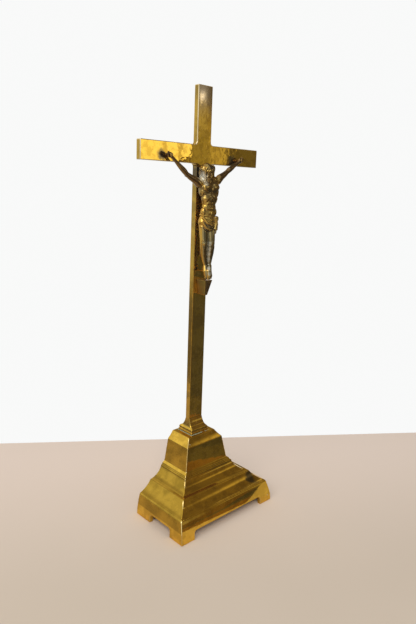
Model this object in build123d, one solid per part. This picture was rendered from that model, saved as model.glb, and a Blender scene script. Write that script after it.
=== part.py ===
from build123d import *
import os

# Standing crucifix in cast brass, in millimetres. The origin is on the ground under the middle of the
# base's footprint, +Z is up and the front faces -Y.

# Cross: a flat bar with a moulded foot
total_height = 300.0
bar_width = 12.6
bar_thickness = 4.2
crossbar_length = 105.4
crossbar_height = 12.4
upper_arm_height = 37.6
inner_corner_radius = 1.6
bar_edge_radius = 0.5

# Foot of the cross, from its seat upwards: lip, groove, rounded band, cove
foot_width = 16.8
foot_depth = 15.1
lip_height = 1.6
groove_height = 0.6
groove_depth = 0.5
band_height = 1.9
band_setback = 1.1
cove_height = 7.2

# Base: stepped mouldings on the front and both sides, a flat back
base_width = 90.6
base_depth = 51.0
seat_width = 25.6
seat_depth = 18.5
axis_from_back = 9.0
plinth_height = 15.6
plinth_batter = 2.3
lower_cove_run = 9.6
lower_cove_rise = 7.8
lower_cove_hollow = 1.1
upper_cove_run = 9.3
upper_cove_rise = 7.7
upper_cove_hollow = 2.4
ledge_run = 3.5
ledge_rise = 3.2
die_run = 3.3
die_rise = 16.9
neck_run = 4.5
neck_rise = 5.4
neck_hollow = 0.5
base_wall = 3.0
seat_thickness = 6.5
arch_height = 6.3
arch_corner_radius = 2.0
front_foot_length = 12.0
side_foot_length_front = 13.5
side_foot_length_back = 15.5

# Stud, washer and nut that hold the cross down
stud_diameter = 4.0
stud_running_clearance = 0.05
stud_engagement = 5.0
stud_end_past_nut = 1.5
washer_diameter = 9.0
washer_thickness = 0.8
nut_across_flats = 7.0
nut_height = 3.2

# Nails
nail_diameter = 1.3
nail_head_diameter = 2.4
nail_head_height = 0.7
peen_diameter = 2.2
peen_height = 0.5
palm_spacing = 64.0
palm_drop = 2.2

# Figure: distances in front of the bar's face, and drops below the palms
palm_standoff = 3.1
palm_radius = 1.6
hand_boss_diameter = 2.6
finger_length = 3.4
wrist_radius = 1.15
elbow_radius = 1.75
shoulder_radius = 2.7
shoulder_half_width = 8.0
shoulder_drop = 14.4
elbow_out_left = 19.6
elbow_drop_left = 10.9
elbow_out_right = 18.2
elbow_drop_right = 8.9
body_standoff = 5.3
neck_radius = 2.5
neck_base_radius = 2.9
head_half_width = 3.7
head_half_depth = 4.5
head_height = 12.2
head_standoff = 7.4
head_drop = 4.2
head_offset = -1.9
head_tilt = 12.0
head_nod = 14.0
hair_thickness = 1.1
lock_length = 6.4
beard_length = 3.6
beard_width = 4.6
crown_radius = 0.75
hip_drop = 41.5
hip_half_gap = 3.2
thigh_radius = 3.45
knee_drop = 57.0
knee_half_gap = 2.9
knee_radius = 2.6
knee_standoff = 7.2
calf_radius = 2.4
ankle_drop = 72.0
ankle_half_gap = 1.5
ankle_radius = 1.6
ankle_standoff = 6.6
leg_lead = 1.4
toe_drop = 80.4
toe_radius = 1.35
toe_standoff = 9.2
foot_nail_drop = 76.2
foot_nail_proud = 0.6
loincloth_drop = 37.0
loincloth_height = 11.0
loincloth_thickness = 0.9
knot_radius = 1.9
knot_forward = 1.0
tail_radius = 1.3
limb_joint_swell = 1.03

# Foot rest: a tapered console below the feet
rest_drop = 82.0
rest_height = 11.0
rest_top_width = 7.0
rest_bottom_width = 3.6
rest_top_depth = 9.2
rest_bottom_depth = 6.8
rest_spigot_diameter = 2.4

# Torso sections: drop below the palms, half width, half depth
torso_sections = [
    (11.6, 4.6, 2.6),
    (13.8, 8.3, 3.7),
    (18.0, 9.2, 4.4),
    (23.0, 8.9, 4.6),
    (29.0, 7.5, 4.2),
    (35.0, 6.5, 3.7),
    (41.0, 7.2, 4.0),
    (46.0, 6.6, 3.8),
]

# Skull and hair sections: level from -1 at the chin to 1 at the top, then shares of the half width and the
# half depth, and the setback from the head's middle
skull_sections = [
    (0.93, 0.45, 0.45, 0.6),
    (0.72, 0.88, 0.88, 0.4),
    (0.20, 1.00, 1.00, 0.0),
    (-0.40, 0.84, 0.86, -0.3),
    (-0.86, 0.52, 0.55, -0.9),
]
hair_sections = [
    (1.03, 0.40, 0.36, 1.0),
    (0.70, 0.92, 0.76, 1.1),
    (-0.20, 1.05, 0.76, 1.4),
    (-0.90, 1.00, 0.65, 1.8),
]
lock_section = (0.80, 0.48, 1.6)

# Loincloth sections: share of its height from the top, then shares of its half width and half depth
loincloth_sections = [
    (0.00, 0.90, 0.92),
    (0.35, 1.00, 1.00),
    (0.75, 1.00, 1.06),
    (1.00, 0.88, 0.98),
]

# Places worked out from the sizes above
back_y = base_depth / 2
axis_y = back_y - axis_from_back
face_y = axis_y - bar_thickness / 2
rear_y = axis_y + bar_thickness / 2
half_base = base_width / 2
total_run = plinth_batter + lower_cove_run + upper_cove_run + ledge_run + die_run + neck_run
side_share = (base_width - seat_width) / 2 / total_run
front_share = (base_depth - seat_depth) / total_run
seat_z = (plinth_height + lower_cove_rise + upper_cove_rise + ledge_rise + die_rise + neck_rise)
crossbar_top_z = total_height - upper_arm_height
crossbar_z = crossbar_top_z - crossbar_height / 2
palm_z = crossbar_z - palm_drop
palm_x = palm_spacing / 2
cavity_top_z = seat_z - seat_thickness
stud_top_z = seat_z + stud_engagement
stud_bottom_z = cavity_top_z - washer_thickness - nut_height - stud_end_past_nut
foot_nail_z = palm_z - foot_nail_drop
rest_top_z = palm_z - rest_drop
cove_top_z = seat_z + lip_height + groove_height + band_height + cove_height

# Edges are found by place to within this distance
tiny = 0.01


def figure_point(x, standoff, drop):
    """A point of the figure: across, in front of the bar's face, and below the palms."""
    return Vector(x, face_y - standoff, palm_z - drop)


def span_y(radius, near_y, far_y, x, z):
    """A round rod that runs front to back, from near_y to far_y."""
    rod = Cylinder(radius, far_y - near_y, align=(Align.CENTER, Align.CENTER, Align.MIN))
    return Location((x, near_y, z), (-90, 0, 0)) * rod


def base_outline(half_width, share, mirrored):
    """Face of the base's moulded profile, in x and z.

    half_width is half of the profile at the ground, and share stretches the mouldings so that they end at the
    seat. A mirrored profile has the mouldings on both sides, and one that isn't is square at its right side.
    """
    x0 = half_width
    x1 = x0 - share * plinth_batter
    x2 = x1 - share * lower_cove_run
    x3 = x2 - share * upper_cove_run
    x4 = x3 - share * ledge_run
    x5 = x4 - share * die_run
    x6 = x5 - share * neck_run
    z1 = plinth_height
    z2 = z1 + lower_cove_rise
    z3 = z2 + upper_cove_rise
    z4 = z3 + ledge_rise
    z5 = z4 + die_rise
    z6 = z5 + neck_rise
    left = [
        Line((-x0, 0), (-x1, z1)),
        SagittaArc((-x1, z1), (-x2, z2), -lower_cove_hollow),
        SagittaArc((-x2, z2), (-x3, z3), -upper_cove_hollow),
        Line((-x3, z3), (-x4, z4)),
        Line((-x4, z4), (-x5, z5)),
        SagittaArc((-x5, z5), (-x6, z6), -neck_hollow),
    ]
    if mirrored:
        right = [edge.mirror(Plane.YZ) for edge in left]
        closing = [Line((-x6, z6), (x6, z6)), Line((-x0, 0), (x0, 0))]
    else:
        right = []
        closing = [Line((-x6, z6), (x0, z6)), Line((x0, z6), (x0, 0)), Line((-x0, 0), (x0, 0))]
    return make_face(left + right + closing)


def cavity_outline(half_width, share, mirrored):
    """Face of the hollow inside the base: straight flanks that follow the mouldings."""
    x0 = half_width - base_wall
    x1 = x0 - share * plinth_batter
    x2 = x1 - share * (lower_cove_run + upper_cove_run / 2)
    x3 = x2 - share * (upper_cove_run / 2 + ledge_run)
    x4 = x3 - share * die_run
    z1 = plinth_height - base_wall
    z2 = z1 + lower_cove_rise
    z3 = z2 + upper_cove_rise
    left = [(-x0, 0), (-x1, z1), (-x2, z2), (-x3, z3), (-x4, cavity_top_z)]
    if mirrored:
        right = [(-x, z) for x, z in reversed(left)]
    else:
        right = [(half_width - base_wall, cavity_top_z), (half_width - base_wall, 0)]
    return make_face(Polyline(*left, *right, close=True))


def mitred(front_view, side_view):
    """Solid whose front and side views are the two given faces, so that its corners are mitred."""
    reach = 2 * (base_width + base_depth)
    from_front = extrude(Plane.XZ * front_view, reach / 2, both=True)
    from_side = extrude(Plane.YZ * side_view, reach / 2, both=True)
    return from_front & from_side


def arch_cutter(length, thickness):
    """Arch between two feet: a slot along X that is open at the ground and rounded at its top corners."""
    slot = Rectangle(length, 2 * arch_height)
    slot = fillet(slot.vertices(), arch_corner_radius)
    return extrude(Plane.XZ * slot, thickness / 2, both=True)


def make_base():
    """Hollow pedestal with mitred mouldings, a flat back, and arches between its four feet."""
    half_depth = base_depth / 2
    across = (half_base, side_share, True)
    along = (half_depth, front_share, False)
    body = mitred(base_outline(*across), base_outline(*along))
    body -= mitred(cavity_outline(*across), cavity_outline(*along))
    front_arch = arch_cutter(base_width - 2 * front_foot_length, 3 * base_depth)
    side_span = base_depth - side_foot_length_front - side_foot_length_back
    side_mid_y = (side_foot_length_front - side_foot_length_back) / 2
    side_arch = Location((0, side_mid_y, 0), (0, 0, 90)) * arch_cutter(side_span, 2 * base_width)
    body -= front_arch + side_arch
    stud_hole_radius = stud_diameter / 2 + stud_running_clearance
    hole = Cylinder(stud_hole_radius, 4 * seat_thickness)
    return body - Location((0, axis_y, seat_z)) * hole


def foot_outline(half_foot, half_bar, top_edges):
    """Face of the cross in one view: the moulded foot below, and the bar's own edges above it."""
    z0 = seat_z
    z1 = z0 + lip_height
    z2 = z1 + groove_height
    z3 = z2 + band_height
    z4 = z3 + cove_height
    groove = half_foot - groove_depth
    band = half_foot - band_setback
    left = [
        Line((-half_foot, z0), (-half_foot, z1)),
        Line((-half_foot, z1), (-groove, z1)),
        Line((-groove, z1), (-groove, z2)),
        Line((-groove, z2), (-half_foot + groove_depth / 2, z2)),
        SagittaArc((-half_foot + groove_depth / 2, z2), (-band, z3), band_height / 6),
        SagittaArc((-band, z3), (-half_bar, z4), -cove_height / 5),
    ]
    right = [edge.mirror(Plane.YZ) for edge in left]
    base_line = Line((-half_foot, z0), (half_foot, z0))
    return make_face(left + right + [base_line] + top_edges(z4))


def cross_front_edges(z):
    """Edges of the cross's front view, from the left of the shaft at z over the arms to its right."""
    half = bar_width / 2
    reach = crossbar_length / 2
    low = crossbar_top_z - crossbar_height
    points = [(-half, z), (-half, low), (-reach, low), (-reach, crossbar_top_z), (-half, crossbar_top_z)]
    points += [(-half, total_height)]
    points += [(-x, height) for x, height in reversed(points)]
    return Polyline(*points).edges()


def cross_side_edges(z):
    """Edges of the cross's side view: the bar's thickness, up to its top."""
    half = bar_thickness / 2
    points = [(-half, z), (-half, total_height), (half, total_height), (half, z)]
    return Polyline(*points).edges()


def make_cross():
    """Bar cross with its moulded foot, drilled for the nails, the foot rest and the stud."""
    front = foot_outline(foot_width / 2, bar_width / 2, cross_front_edges)
    side = foot_outline(foot_depth / 2, bar_thickness / 2, cross_side_edges)
    body = Location((0, axis_y, 0)) * mitred(front, side)
    inner = [
        edge for edge in body.edges().filter_by(Axis.Y)
        if abs(abs(edge.center().X) - bar_width / 2) < tiny
        and abs(abs(edge.center().Z - crossbar_z) - crossbar_height / 2) < tiny
    ]
    body = fillet(inner, inner_corner_radius)
    rims = [
        edge for edge in body.edges()
        if edge.bounding_box().size.Y < tiny and edge.bounding_box().min.Z > cove_top_z - tiny
    ]
    body = fillet(rims, bar_edge_radius)
    hole_radius = nail_diameter / 2
    for x, z in ((-palm_x, palm_z), (palm_x, palm_z), (0, foot_nail_z)):
        body -= span_y(hole_radius, face_y - 1, rear_y + 1, x, z)
    body -= span_y(rest_spigot_diameter / 2, face_y - 1, rear_y + 1, 0, rest_top_z - rest_height / 2)
    blind = Cylinder(stud_diameter / 2, stud_engagement, align=(Align.CENTER, Align.CENTER, Align.MIN))
    return body - Location((0, axis_y, seat_z)) * blind


def oval_loft(sections):
    """Smooth solid through level ovals, each given as a centre point, a half width and a half depth."""
    return loft([Plane(centre) * Ellipse(wide, deep) for centre, wide, deep in sections])


def limb(joints):
    """Tapered limb through a list of joints, each a point and a radius, with a ball at every joint."""
    body = None
    for (start, r0), (end, r1) in zip(joints, joints[1:]):
        along = Plane(start, z_dir=end - start)
        bone = along * Cone(r0, r1, (end - start).length, align=(Align.CENTER, Align.CENTER, Align.MIN))
        body = bone if body is None else body + bone
    for point, radius in joints:
        body += Location(point) * Sphere(limb_joint_swell * radius)
    return body


def make_torso():
    """Chest, waist and hips as one smooth loft."""
    return oval_loft([
        (figure_point(0, body_standoff, drop), wide, deep) for drop, wide, deep in torso_sections
    ])


def make_arm(side, elbow_out, elbow_drop):
    """Raised arm with its hand, and the boss behind the palm that stands on the crossbar."""
    shoulder = figure_point(side * shoulder_half_width, body_standoff, shoulder_drop)
    elbow = figure_point(side * elbow_out, (body_standoff + palm_standoff) / 2, elbow_drop)
    palm = figure_point(side * palm_x, palm_standoff, 0)
    reach = (palm - elbow).normalized() * finger_length
    arm = limb([
        (shoulder, shoulder_radius),
        (elbow, elbow_radius),
        (palm - reach, wrist_radius),
        (palm, palm_radius),
        (palm + reach, palm_radius / 2),
    ])
    return arm + span_y(hand_boss_diameter / 2, palm.Y, face_y, palm.X, palm.Z)


def make_head():
    """Bowed head with neck, hair to the shoulders, beard and a twisted crown, all turned together."""
    half = head_height / 2
    hair_wide = head_half_width + hair_thickness
    hair_deep = head_half_depth + hair_thickness
    skull = oval_loft([
        (Vector(0, back, half * level), head_half_width * wide, head_half_depth * deep)
        for level, wide, deep, back in skull_sections
    ])
    wide, deep, back = lock_section
    lock_end = Vector(0, back, half * hair_sections[-1][0] - lock_length / 2)
    hair = oval_loft([
        (Vector(0, back, half * level), hair_wide * wide, hair_deep * deep)
        for level, wide, deep, back in hair_sections
    ] + [(lock_end, hair_wide * wide, hair_deep * deep)])
    chin = Vector(0, -head_half_depth / 3, beard_width / 2 - half)
    tip = Vector(0, -head_half_depth / 2, -half - beard_length)
    beard = limb([(chin, beard_width / 2), (tip, beard_width / 5)])
    crown = Location((0, 0, half / 2)) * Torus(hair_wide, crown_radius)
    centre = figure_point(head_offset, head_standoff, head_drop + half)
    head = Location(centre) * Rotation(head_nod, -head_tilt, 0) * (skull + hair + beard + crown)
    throat = figure_point(0, body_standoff, shoulder_drop)
    return head + limb([(centre, neck_radius), (throat, neck_base_radius)])


def make_leg(side, lead):
    """Bent leg that ends in a foot pointing down, with its toes near the foot rest."""
    hip = figure_point(side * hip_half_gap, body_standoff, hip_drop)
    knee = figure_point(side * knee_half_gap, knee_standoff + lead / 2, knee_drop)
    calf_drop = knee_drop + (ankle_drop - knee_drop) / 3
    calf = figure_point(side * knee_half_gap, ankle_standoff + lead / 2, calf_drop)
    ankle = figure_point(side * ankle_half_gap, ankle_standoff + lead, ankle_drop)
    toe = figure_point(side * ankle_half_gap / 2, toe_standoff + lead / 2, toe_drop)
    return limb([
        (hip, thigh_radius),
        (knee, knee_radius),
        (calf, calf_radius),
        (ankle, ankle_radius),
        (toe, toe_radius),
    ])


def make_loincloth():
    """Wrapped cloth round the hips, with a knot and a hanging end at one side."""
    drop, wide, deep = torso_sections[-2]
    spread = wide + loincloth_thickness
    depth = deep + loincloth_thickness
    sections = []
    for share, across, along in loincloth_sections:
        middle = figure_point(0, body_standoff, loincloth_drop + loincloth_height * share)
        sections.append((middle, spread * across, depth * along))
    knot = figure_point(spread, body_standoff + knot_forward, loincloth_drop + knot_radius)
    tail = figure_point(spread, body_standoff + knot_forward / 2, loincloth_drop + loincloth_height)
    return oval_loft(sections) + limb([(knot, knot_radius), (tail, tail_radius)])


def foot_rest_block():
    """Tapered console from the bar's face forwards, wider and deeper at its top."""
    top_middle = Vector(0, face_y - rest_top_depth / 2, rest_top_z)
    top = Plane(top_middle) * Rectangle(rest_top_width, rest_top_depth)
    bottom_middle = Vector(0, face_y - rest_bottom_depth / 2, rest_top_z - rest_height)
    bottom = Plane(bottom_middle) * Rectangle(rest_bottom_width, rest_bottom_depth)
    return loft([top, bottom])


def make_foot_rest():
    """Console with its spigot through the shaft, peened over at the back."""
    spigot_z = rest_top_z - rest_height / 2
    spigot = span_y(rest_spigot_diameter / 2, face_y - 1, rear_y, 0, spigot_z)
    peen = span_y(rest_spigot_diameter / 2 + peen_height, rear_y, rear_y + peen_height, 0, spigot_z)
    return foot_rest_block() + spigot + peen


def foot_front_y():
    """Front of the crossed feet at the nail, where its head sits."""
    share = (foot_nail_drop - ankle_drop) / (toe_drop - ankle_drop)
    standoff = ankle_standoff + (toe_standoff - ankle_standoff) * share
    return face_y - standoff - ankle_radius - foot_nail_proud


def make_nail(x, z, head_y):
    """Nail with a domed head in front and a peened end behind the bar."""
    shank = span_y(nail_diameter / 2, head_y, rear_y, x, z)
    head = span_y(nail_head_diameter / 2, head_y - nail_head_height, head_y, x, z)
    rim = head.edges().group_by(Axis.Y)[0]
    head = fillet(rim, 0.7 * nail_head_height)
    peen = span_y(peen_diameter / 2, rear_y, rear_y + peen_height, x, z)
    return shank + head + peen


def make_corpus(nails, rest):
    """The whole figure as one casting, drilled for its nails and seated on the foot rest."""
    body = make_torso() + make_loincloth() + make_leg(-1, 0.0) + make_leg(1, leg_lead)
    body += make_arm(-1, elbow_out_left, elbow_drop_left)
    body += make_arm(1, elbow_out_right, elbow_drop_right)
    body += make_head()
    body += span_y(hand_boss_diameter / 2, face_y - ankle_standoff, face_y, 0, foot_nail_z)
    for nail in nails:
        body -= nail
    return body - rest


def make_stud():
    """Plain-turned stud that stands for the threaded one."""
    length = stud_top_z - stud_bottom_z
    rod = Cylinder(stud_diameter / 2, length, align=(Align.CENTER, Align.CENTER, Align.MIN))
    return Location((0, axis_y, stud_bottom_z)) * rod


def make_washer():
    """Plain washer against the ceiling of the hollow base."""
    ring = Cylinder(washer_diameter / 2, washer_thickness, align=(Align.CENTER, Align.CENTER, Align.MAX))
    ring -= Cylinder(stud_diameter / 2, 4 * washer_thickness)
    return Location((0, axis_y, cavity_top_z)) * ring


def make_nut():
    """Hexagon nut under the washer."""
    flats = RegularPolygon(nut_across_flats / 2, 6, major_radius=False)
    body = extrude(flats, -nut_height) - Cylinder(stud_diameter / 2, 4 * nut_height)
    return Location((0, axis_y, cavity_top_z - washer_thickness)) * body


palm_front_y = face_y - palm_standoff - palm_radius
nail_left = make_nail(-palm_x, palm_z, palm_front_y)
nail_right = make_nail(palm_x, palm_z, palm_front_y)
nail_feet = make_nail(0, foot_nail_z, foot_front_y())
rest = make_foot_rest()

nodes = {
    "base": make_base(),
    "cross": make_cross(),
    "corpus": make_corpus([nail_left, nail_right, nail_feet], rest),
    "foot_rest": rest,
    "hand_nail_left": nail_left,
    "hand_nail_right": nail_right,
    "foot_nail": nail_feet,
    "fixing_stud": make_stud(),
    "fixing_washer": make_washer(),
    "fixing_nut": make_nut(),
}

os.makedirs("parts", exist_ok=True)
for name, solid in nodes.items():
    solid.label = name
    export_step(solid, f"parts/{name}.step")
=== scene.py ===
"""Standing brass crucifix: a hollow pedestal, a bar cross, a cast figure, its foot console and fixings."""
import logging
import math
from collections.abc import Callable, Sequence
from dataclasses import dataclass
from enum import Enum
from typing import Any

import bpy
import numpy as np
from mathutils import Euler, Matrix, Vector


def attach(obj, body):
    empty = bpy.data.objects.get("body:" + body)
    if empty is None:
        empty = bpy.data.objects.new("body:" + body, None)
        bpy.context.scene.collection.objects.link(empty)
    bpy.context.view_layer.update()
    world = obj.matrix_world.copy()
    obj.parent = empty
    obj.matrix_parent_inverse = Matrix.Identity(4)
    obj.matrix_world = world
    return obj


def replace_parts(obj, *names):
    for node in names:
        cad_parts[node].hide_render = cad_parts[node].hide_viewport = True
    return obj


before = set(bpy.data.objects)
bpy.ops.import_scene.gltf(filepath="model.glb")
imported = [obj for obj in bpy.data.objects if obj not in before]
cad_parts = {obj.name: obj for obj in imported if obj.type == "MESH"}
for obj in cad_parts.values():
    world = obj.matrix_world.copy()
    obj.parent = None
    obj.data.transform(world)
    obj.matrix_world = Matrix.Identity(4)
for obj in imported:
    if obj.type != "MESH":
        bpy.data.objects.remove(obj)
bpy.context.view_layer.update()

Point = tuple[float, float, float]
Flat = tuple[float, float]
Colour = tuple[float, float, float]

MM = 0.001
LOG = logging.getLogger("crucifix")

# Levels and planes that several pieces share, in millimetres
BACK_Y = 25.5
AXIS_Y = 16.5
FACE_Y = 14.4
REAR_Y = 18.6
SEAT_Z = 56.6
PALM_Z = 254.0
FEET_Z = 6.5
LEDGE_Z = 32.6

# How faces, places and edges are told apart: part of a normal along an axis, slack, and least angle
FACING = 0.9
SLACK = 0.01
SHARP_EDGE = math.radians(33.0)

DUST: Colour = (0.80, 0.78, 0.74)


class Side(Enum):
    """Which side of the figure a limb is on, as the sign of its x."""

    LEFT = -1.0
    RIGHT = 1.0


class Grain(Enum):
    """Run of the polishing lines: how far each axis is stretched."""

    UPRIGHT = (1.0, 1.0, 0.04)
    LEVEL = (0.05, 0.05, 1.0)


class Value:
    """A shader socket; sums and products on one that carries a number add Math nodes."""

    def __init__(self, graph: "Graph", socket: bpy.types.NodeSocket) -> None:
        """Wrap a socket of a graph."""
        self.graph = graph
        self.socket = socket

    def __add__(self, other: Any) -> "Value":
        """Add a number or a socket."""
        return self.graph.math("ADD", self, other)

    def __radd__(self, other: Any) -> "Value":
        """Add to a number."""
        return self.graph.math("ADD", other, self)

    def __sub__(self, other: Any) -> "Value":
        """Take away a number or a socket."""
        return self.graph.math("SUBTRACT", self, other)

    def __rsub__(self, other: Any) -> "Value":
        """Take from a number."""
        return self.graph.math("SUBTRACT", other, self)

    def __mul__(self, other: Any) -> "Value":
        """Multiply by a number or a socket."""
        return self.graph.math("MULTIPLY", self, other)

    def __rmul__(self, other: Any) -> "Value":
        """Multiply a number."""
        return self.graph.math("MULTIPLY", other, self)


class Graph:
    """The nodes of one material or world."""

    def __init__(self, tree: bpy.types.NodeTree) -> None:
        """Start on an empty tree."""
        tree.nodes.clear()
        self.tree = tree

    def node(
        self, kind: str, settings: dict[str, Any] | None = None, inputs: dict[int | str, Any] | None = None
    ) -> bpy.types.Node:
        """Add a node.

        Args:
            kind: Blender's name of the node type.
            settings: the node's own settings, set first.
            inputs: values or links of its sockets, by name or number.

        Returns:
            The new node.
        """
        made = self.tree.nodes.new(kind)
        for key, setting in (settings or {}).items():
            setattr(made, key, setting)
        for key, given in (inputs or {}).items():
            self.feed(made.inputs[key], given)
        return made

    def value(self, kind: str, *given: dict[Any, Any], output: int | str = 0) -> Value:
        """Add a node with the settings and inputs that node takes, and wrap one of its outputs."""
        return Value(self, self.node(kind, *given).outputs[output])

    def feed(self, socket: bpy.types.NodeSocket, given: Any) -> None:
        """Link a value to a socket, or set the socket to a constant.

        Args:
            socket: the socket to feed.
            given: a wrapped socket to link, or a constant.
        """
        if isinstance(given, Value):
            self.tree.links.new(given.socket, socket)
        elif socket.type == "RGBA":
            socket.default_value = (*given[:3], 1.0)
        else:
            socket.default_value = given

    def math(self, operation: str, *terms: Any) -> Value:
        """One Math node on numbers or sockets."""
        return self.value("ShaderNodeMath", {"operation": operation}, dict(enumerate(terms)))

    def place(self) -> Value:
        """Object coordinates in millimetres."""
        coords = self.value("ShaderNodeTexCoord", output="Object")
        return self.value("ShaderNodeVectorMath", {"operation": "SCALE"}, {0: coords, "Scale": 1.0 / MM})

    def stretch(self, place: Value, scale: Point) -> Value:
        """A place with each axis multiplied."""
        return self.value("ShaderNodeVectorMath", {"operation": "MULTIPLY"}, {0: place, 1: scale})

    def shift(self, place: Value, offset: Point) -> Value:
        """A place moved along."""
        return self.value("ShaderNodeVectorMath", {"operation": "ADD"}, {0: place, 1: offset})

    def axes(self, place: Value) -> tuple[Value, Value, Value]:
        """The x, y and z of a place."""
        node = self.node("ShaderNodeSeparateXYZ", {}, {0: place})
        return Value(self, node.outputs[0]), Value(self, node.outputs[1]), Value(self, node.outputs[2])

    def noise(self, place: Value, size: float, detail: float = 3.0, rough: float = 0.55) -> Value:
        """Cloudy noise whose lumps are about size across."""
        inputs = {"Vector": place, "Scale": 1.0 / size, "Detail": detail, "Roughness": rough}
        return self.value("ShaderNodeTexNoise", {}, inputs)

    def cells(self, place: Value, size: float) -> Value:
        """Distance to the nearest of points scattered about size apart."""
        return self.value("ShaderNodeTexVoronoi", {}, {"Vector": place, "Scale": 1.0 / size})

    def step(self, value: Value, low: float, high: float) -> Value:
        """A smooth step from 0 at low to 1 at high; low may be above high."""
        inputs = {"Value": value, "From Min": low, "From Max": high, "To Min": 0.0, "To Max": 1.0}
        return self.value("ShaderNodeMapRange", {"interpolation_type": "SMOOTHSTEP"}, inputs)

    def band(self, value: Value, middle: float, half: float) -> Value:
        """1 at the middle of a band, falling smoothly to 0 at its edges."""
        return self.step(self.math("ABSOLUTE", value - middle), half, 0.2 * half)

    def mix(self, factor: Any, first: Any, second: Any) -> Value:
        """Blend of two colours, through the colour sockets of a Mix node."""
        return self.value("ShaderNodeMix", {"data_type": "RGBA"}, {0: factor, 6: first, 7: second}, output=2)

    def attribute(self, name: str) -> Value:
        """A number stored on the mesh."""
        return self.value("ShaderNodeAttribute", {"attribute_name": name}, output="Fac")

    def bump(self, height: Value, distance: float, under: Value | None = None) -> Value:
        """Normal of a relief.

        Args:
            height: height of the relief, in shares of the distance.
            distance: the distance, in metres.
            under: another normal that the relief is laid over.

        Returns:
            The normal.
        """
        inputs: dict[int | str, Any] = {"Height": height, "Distance": distance, "Strength": 1.0}
        if under:
            inputs["Normal"] = under
        return self.value("ShaderNodeBump", {}, inputs)

    def surface(self, dust: float = 0.0, **inputs: Any) -> None:
        """Link a Principled shader to the output.

        Args:
            dust: share of a thin pale dust over it.
            inputs: what feeds its sockets, by their names with _ for a space.
        """
        sockets = {key.replace("_", " "): given for key, given in inputs.items()}
        shader = self.value("ShaderNodeBsdfPrincipled", {}, sockets)
        if dust:
            pale = self.value("ShaderNodeBsdfDiffuse", {}, {"Color": DUST})
            shader = self.value("ShaderNodeMixShader", {}, {0: dust, 1: shader, 2: pale})
        self.node("ShaderNodeOutputMaterial", {}, {"Surface": shader})


def new_material(name: str) -> tuple[bpy.types.Material, Graph]:
    """Start a material.

    Args:
        name: name of the material.

    Returns:
        The empty material and its graph.
    """
    made = bpy.data.materials.new(name)
    made.use_nodes = True
    return made, Graph(made.node_tree)


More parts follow.
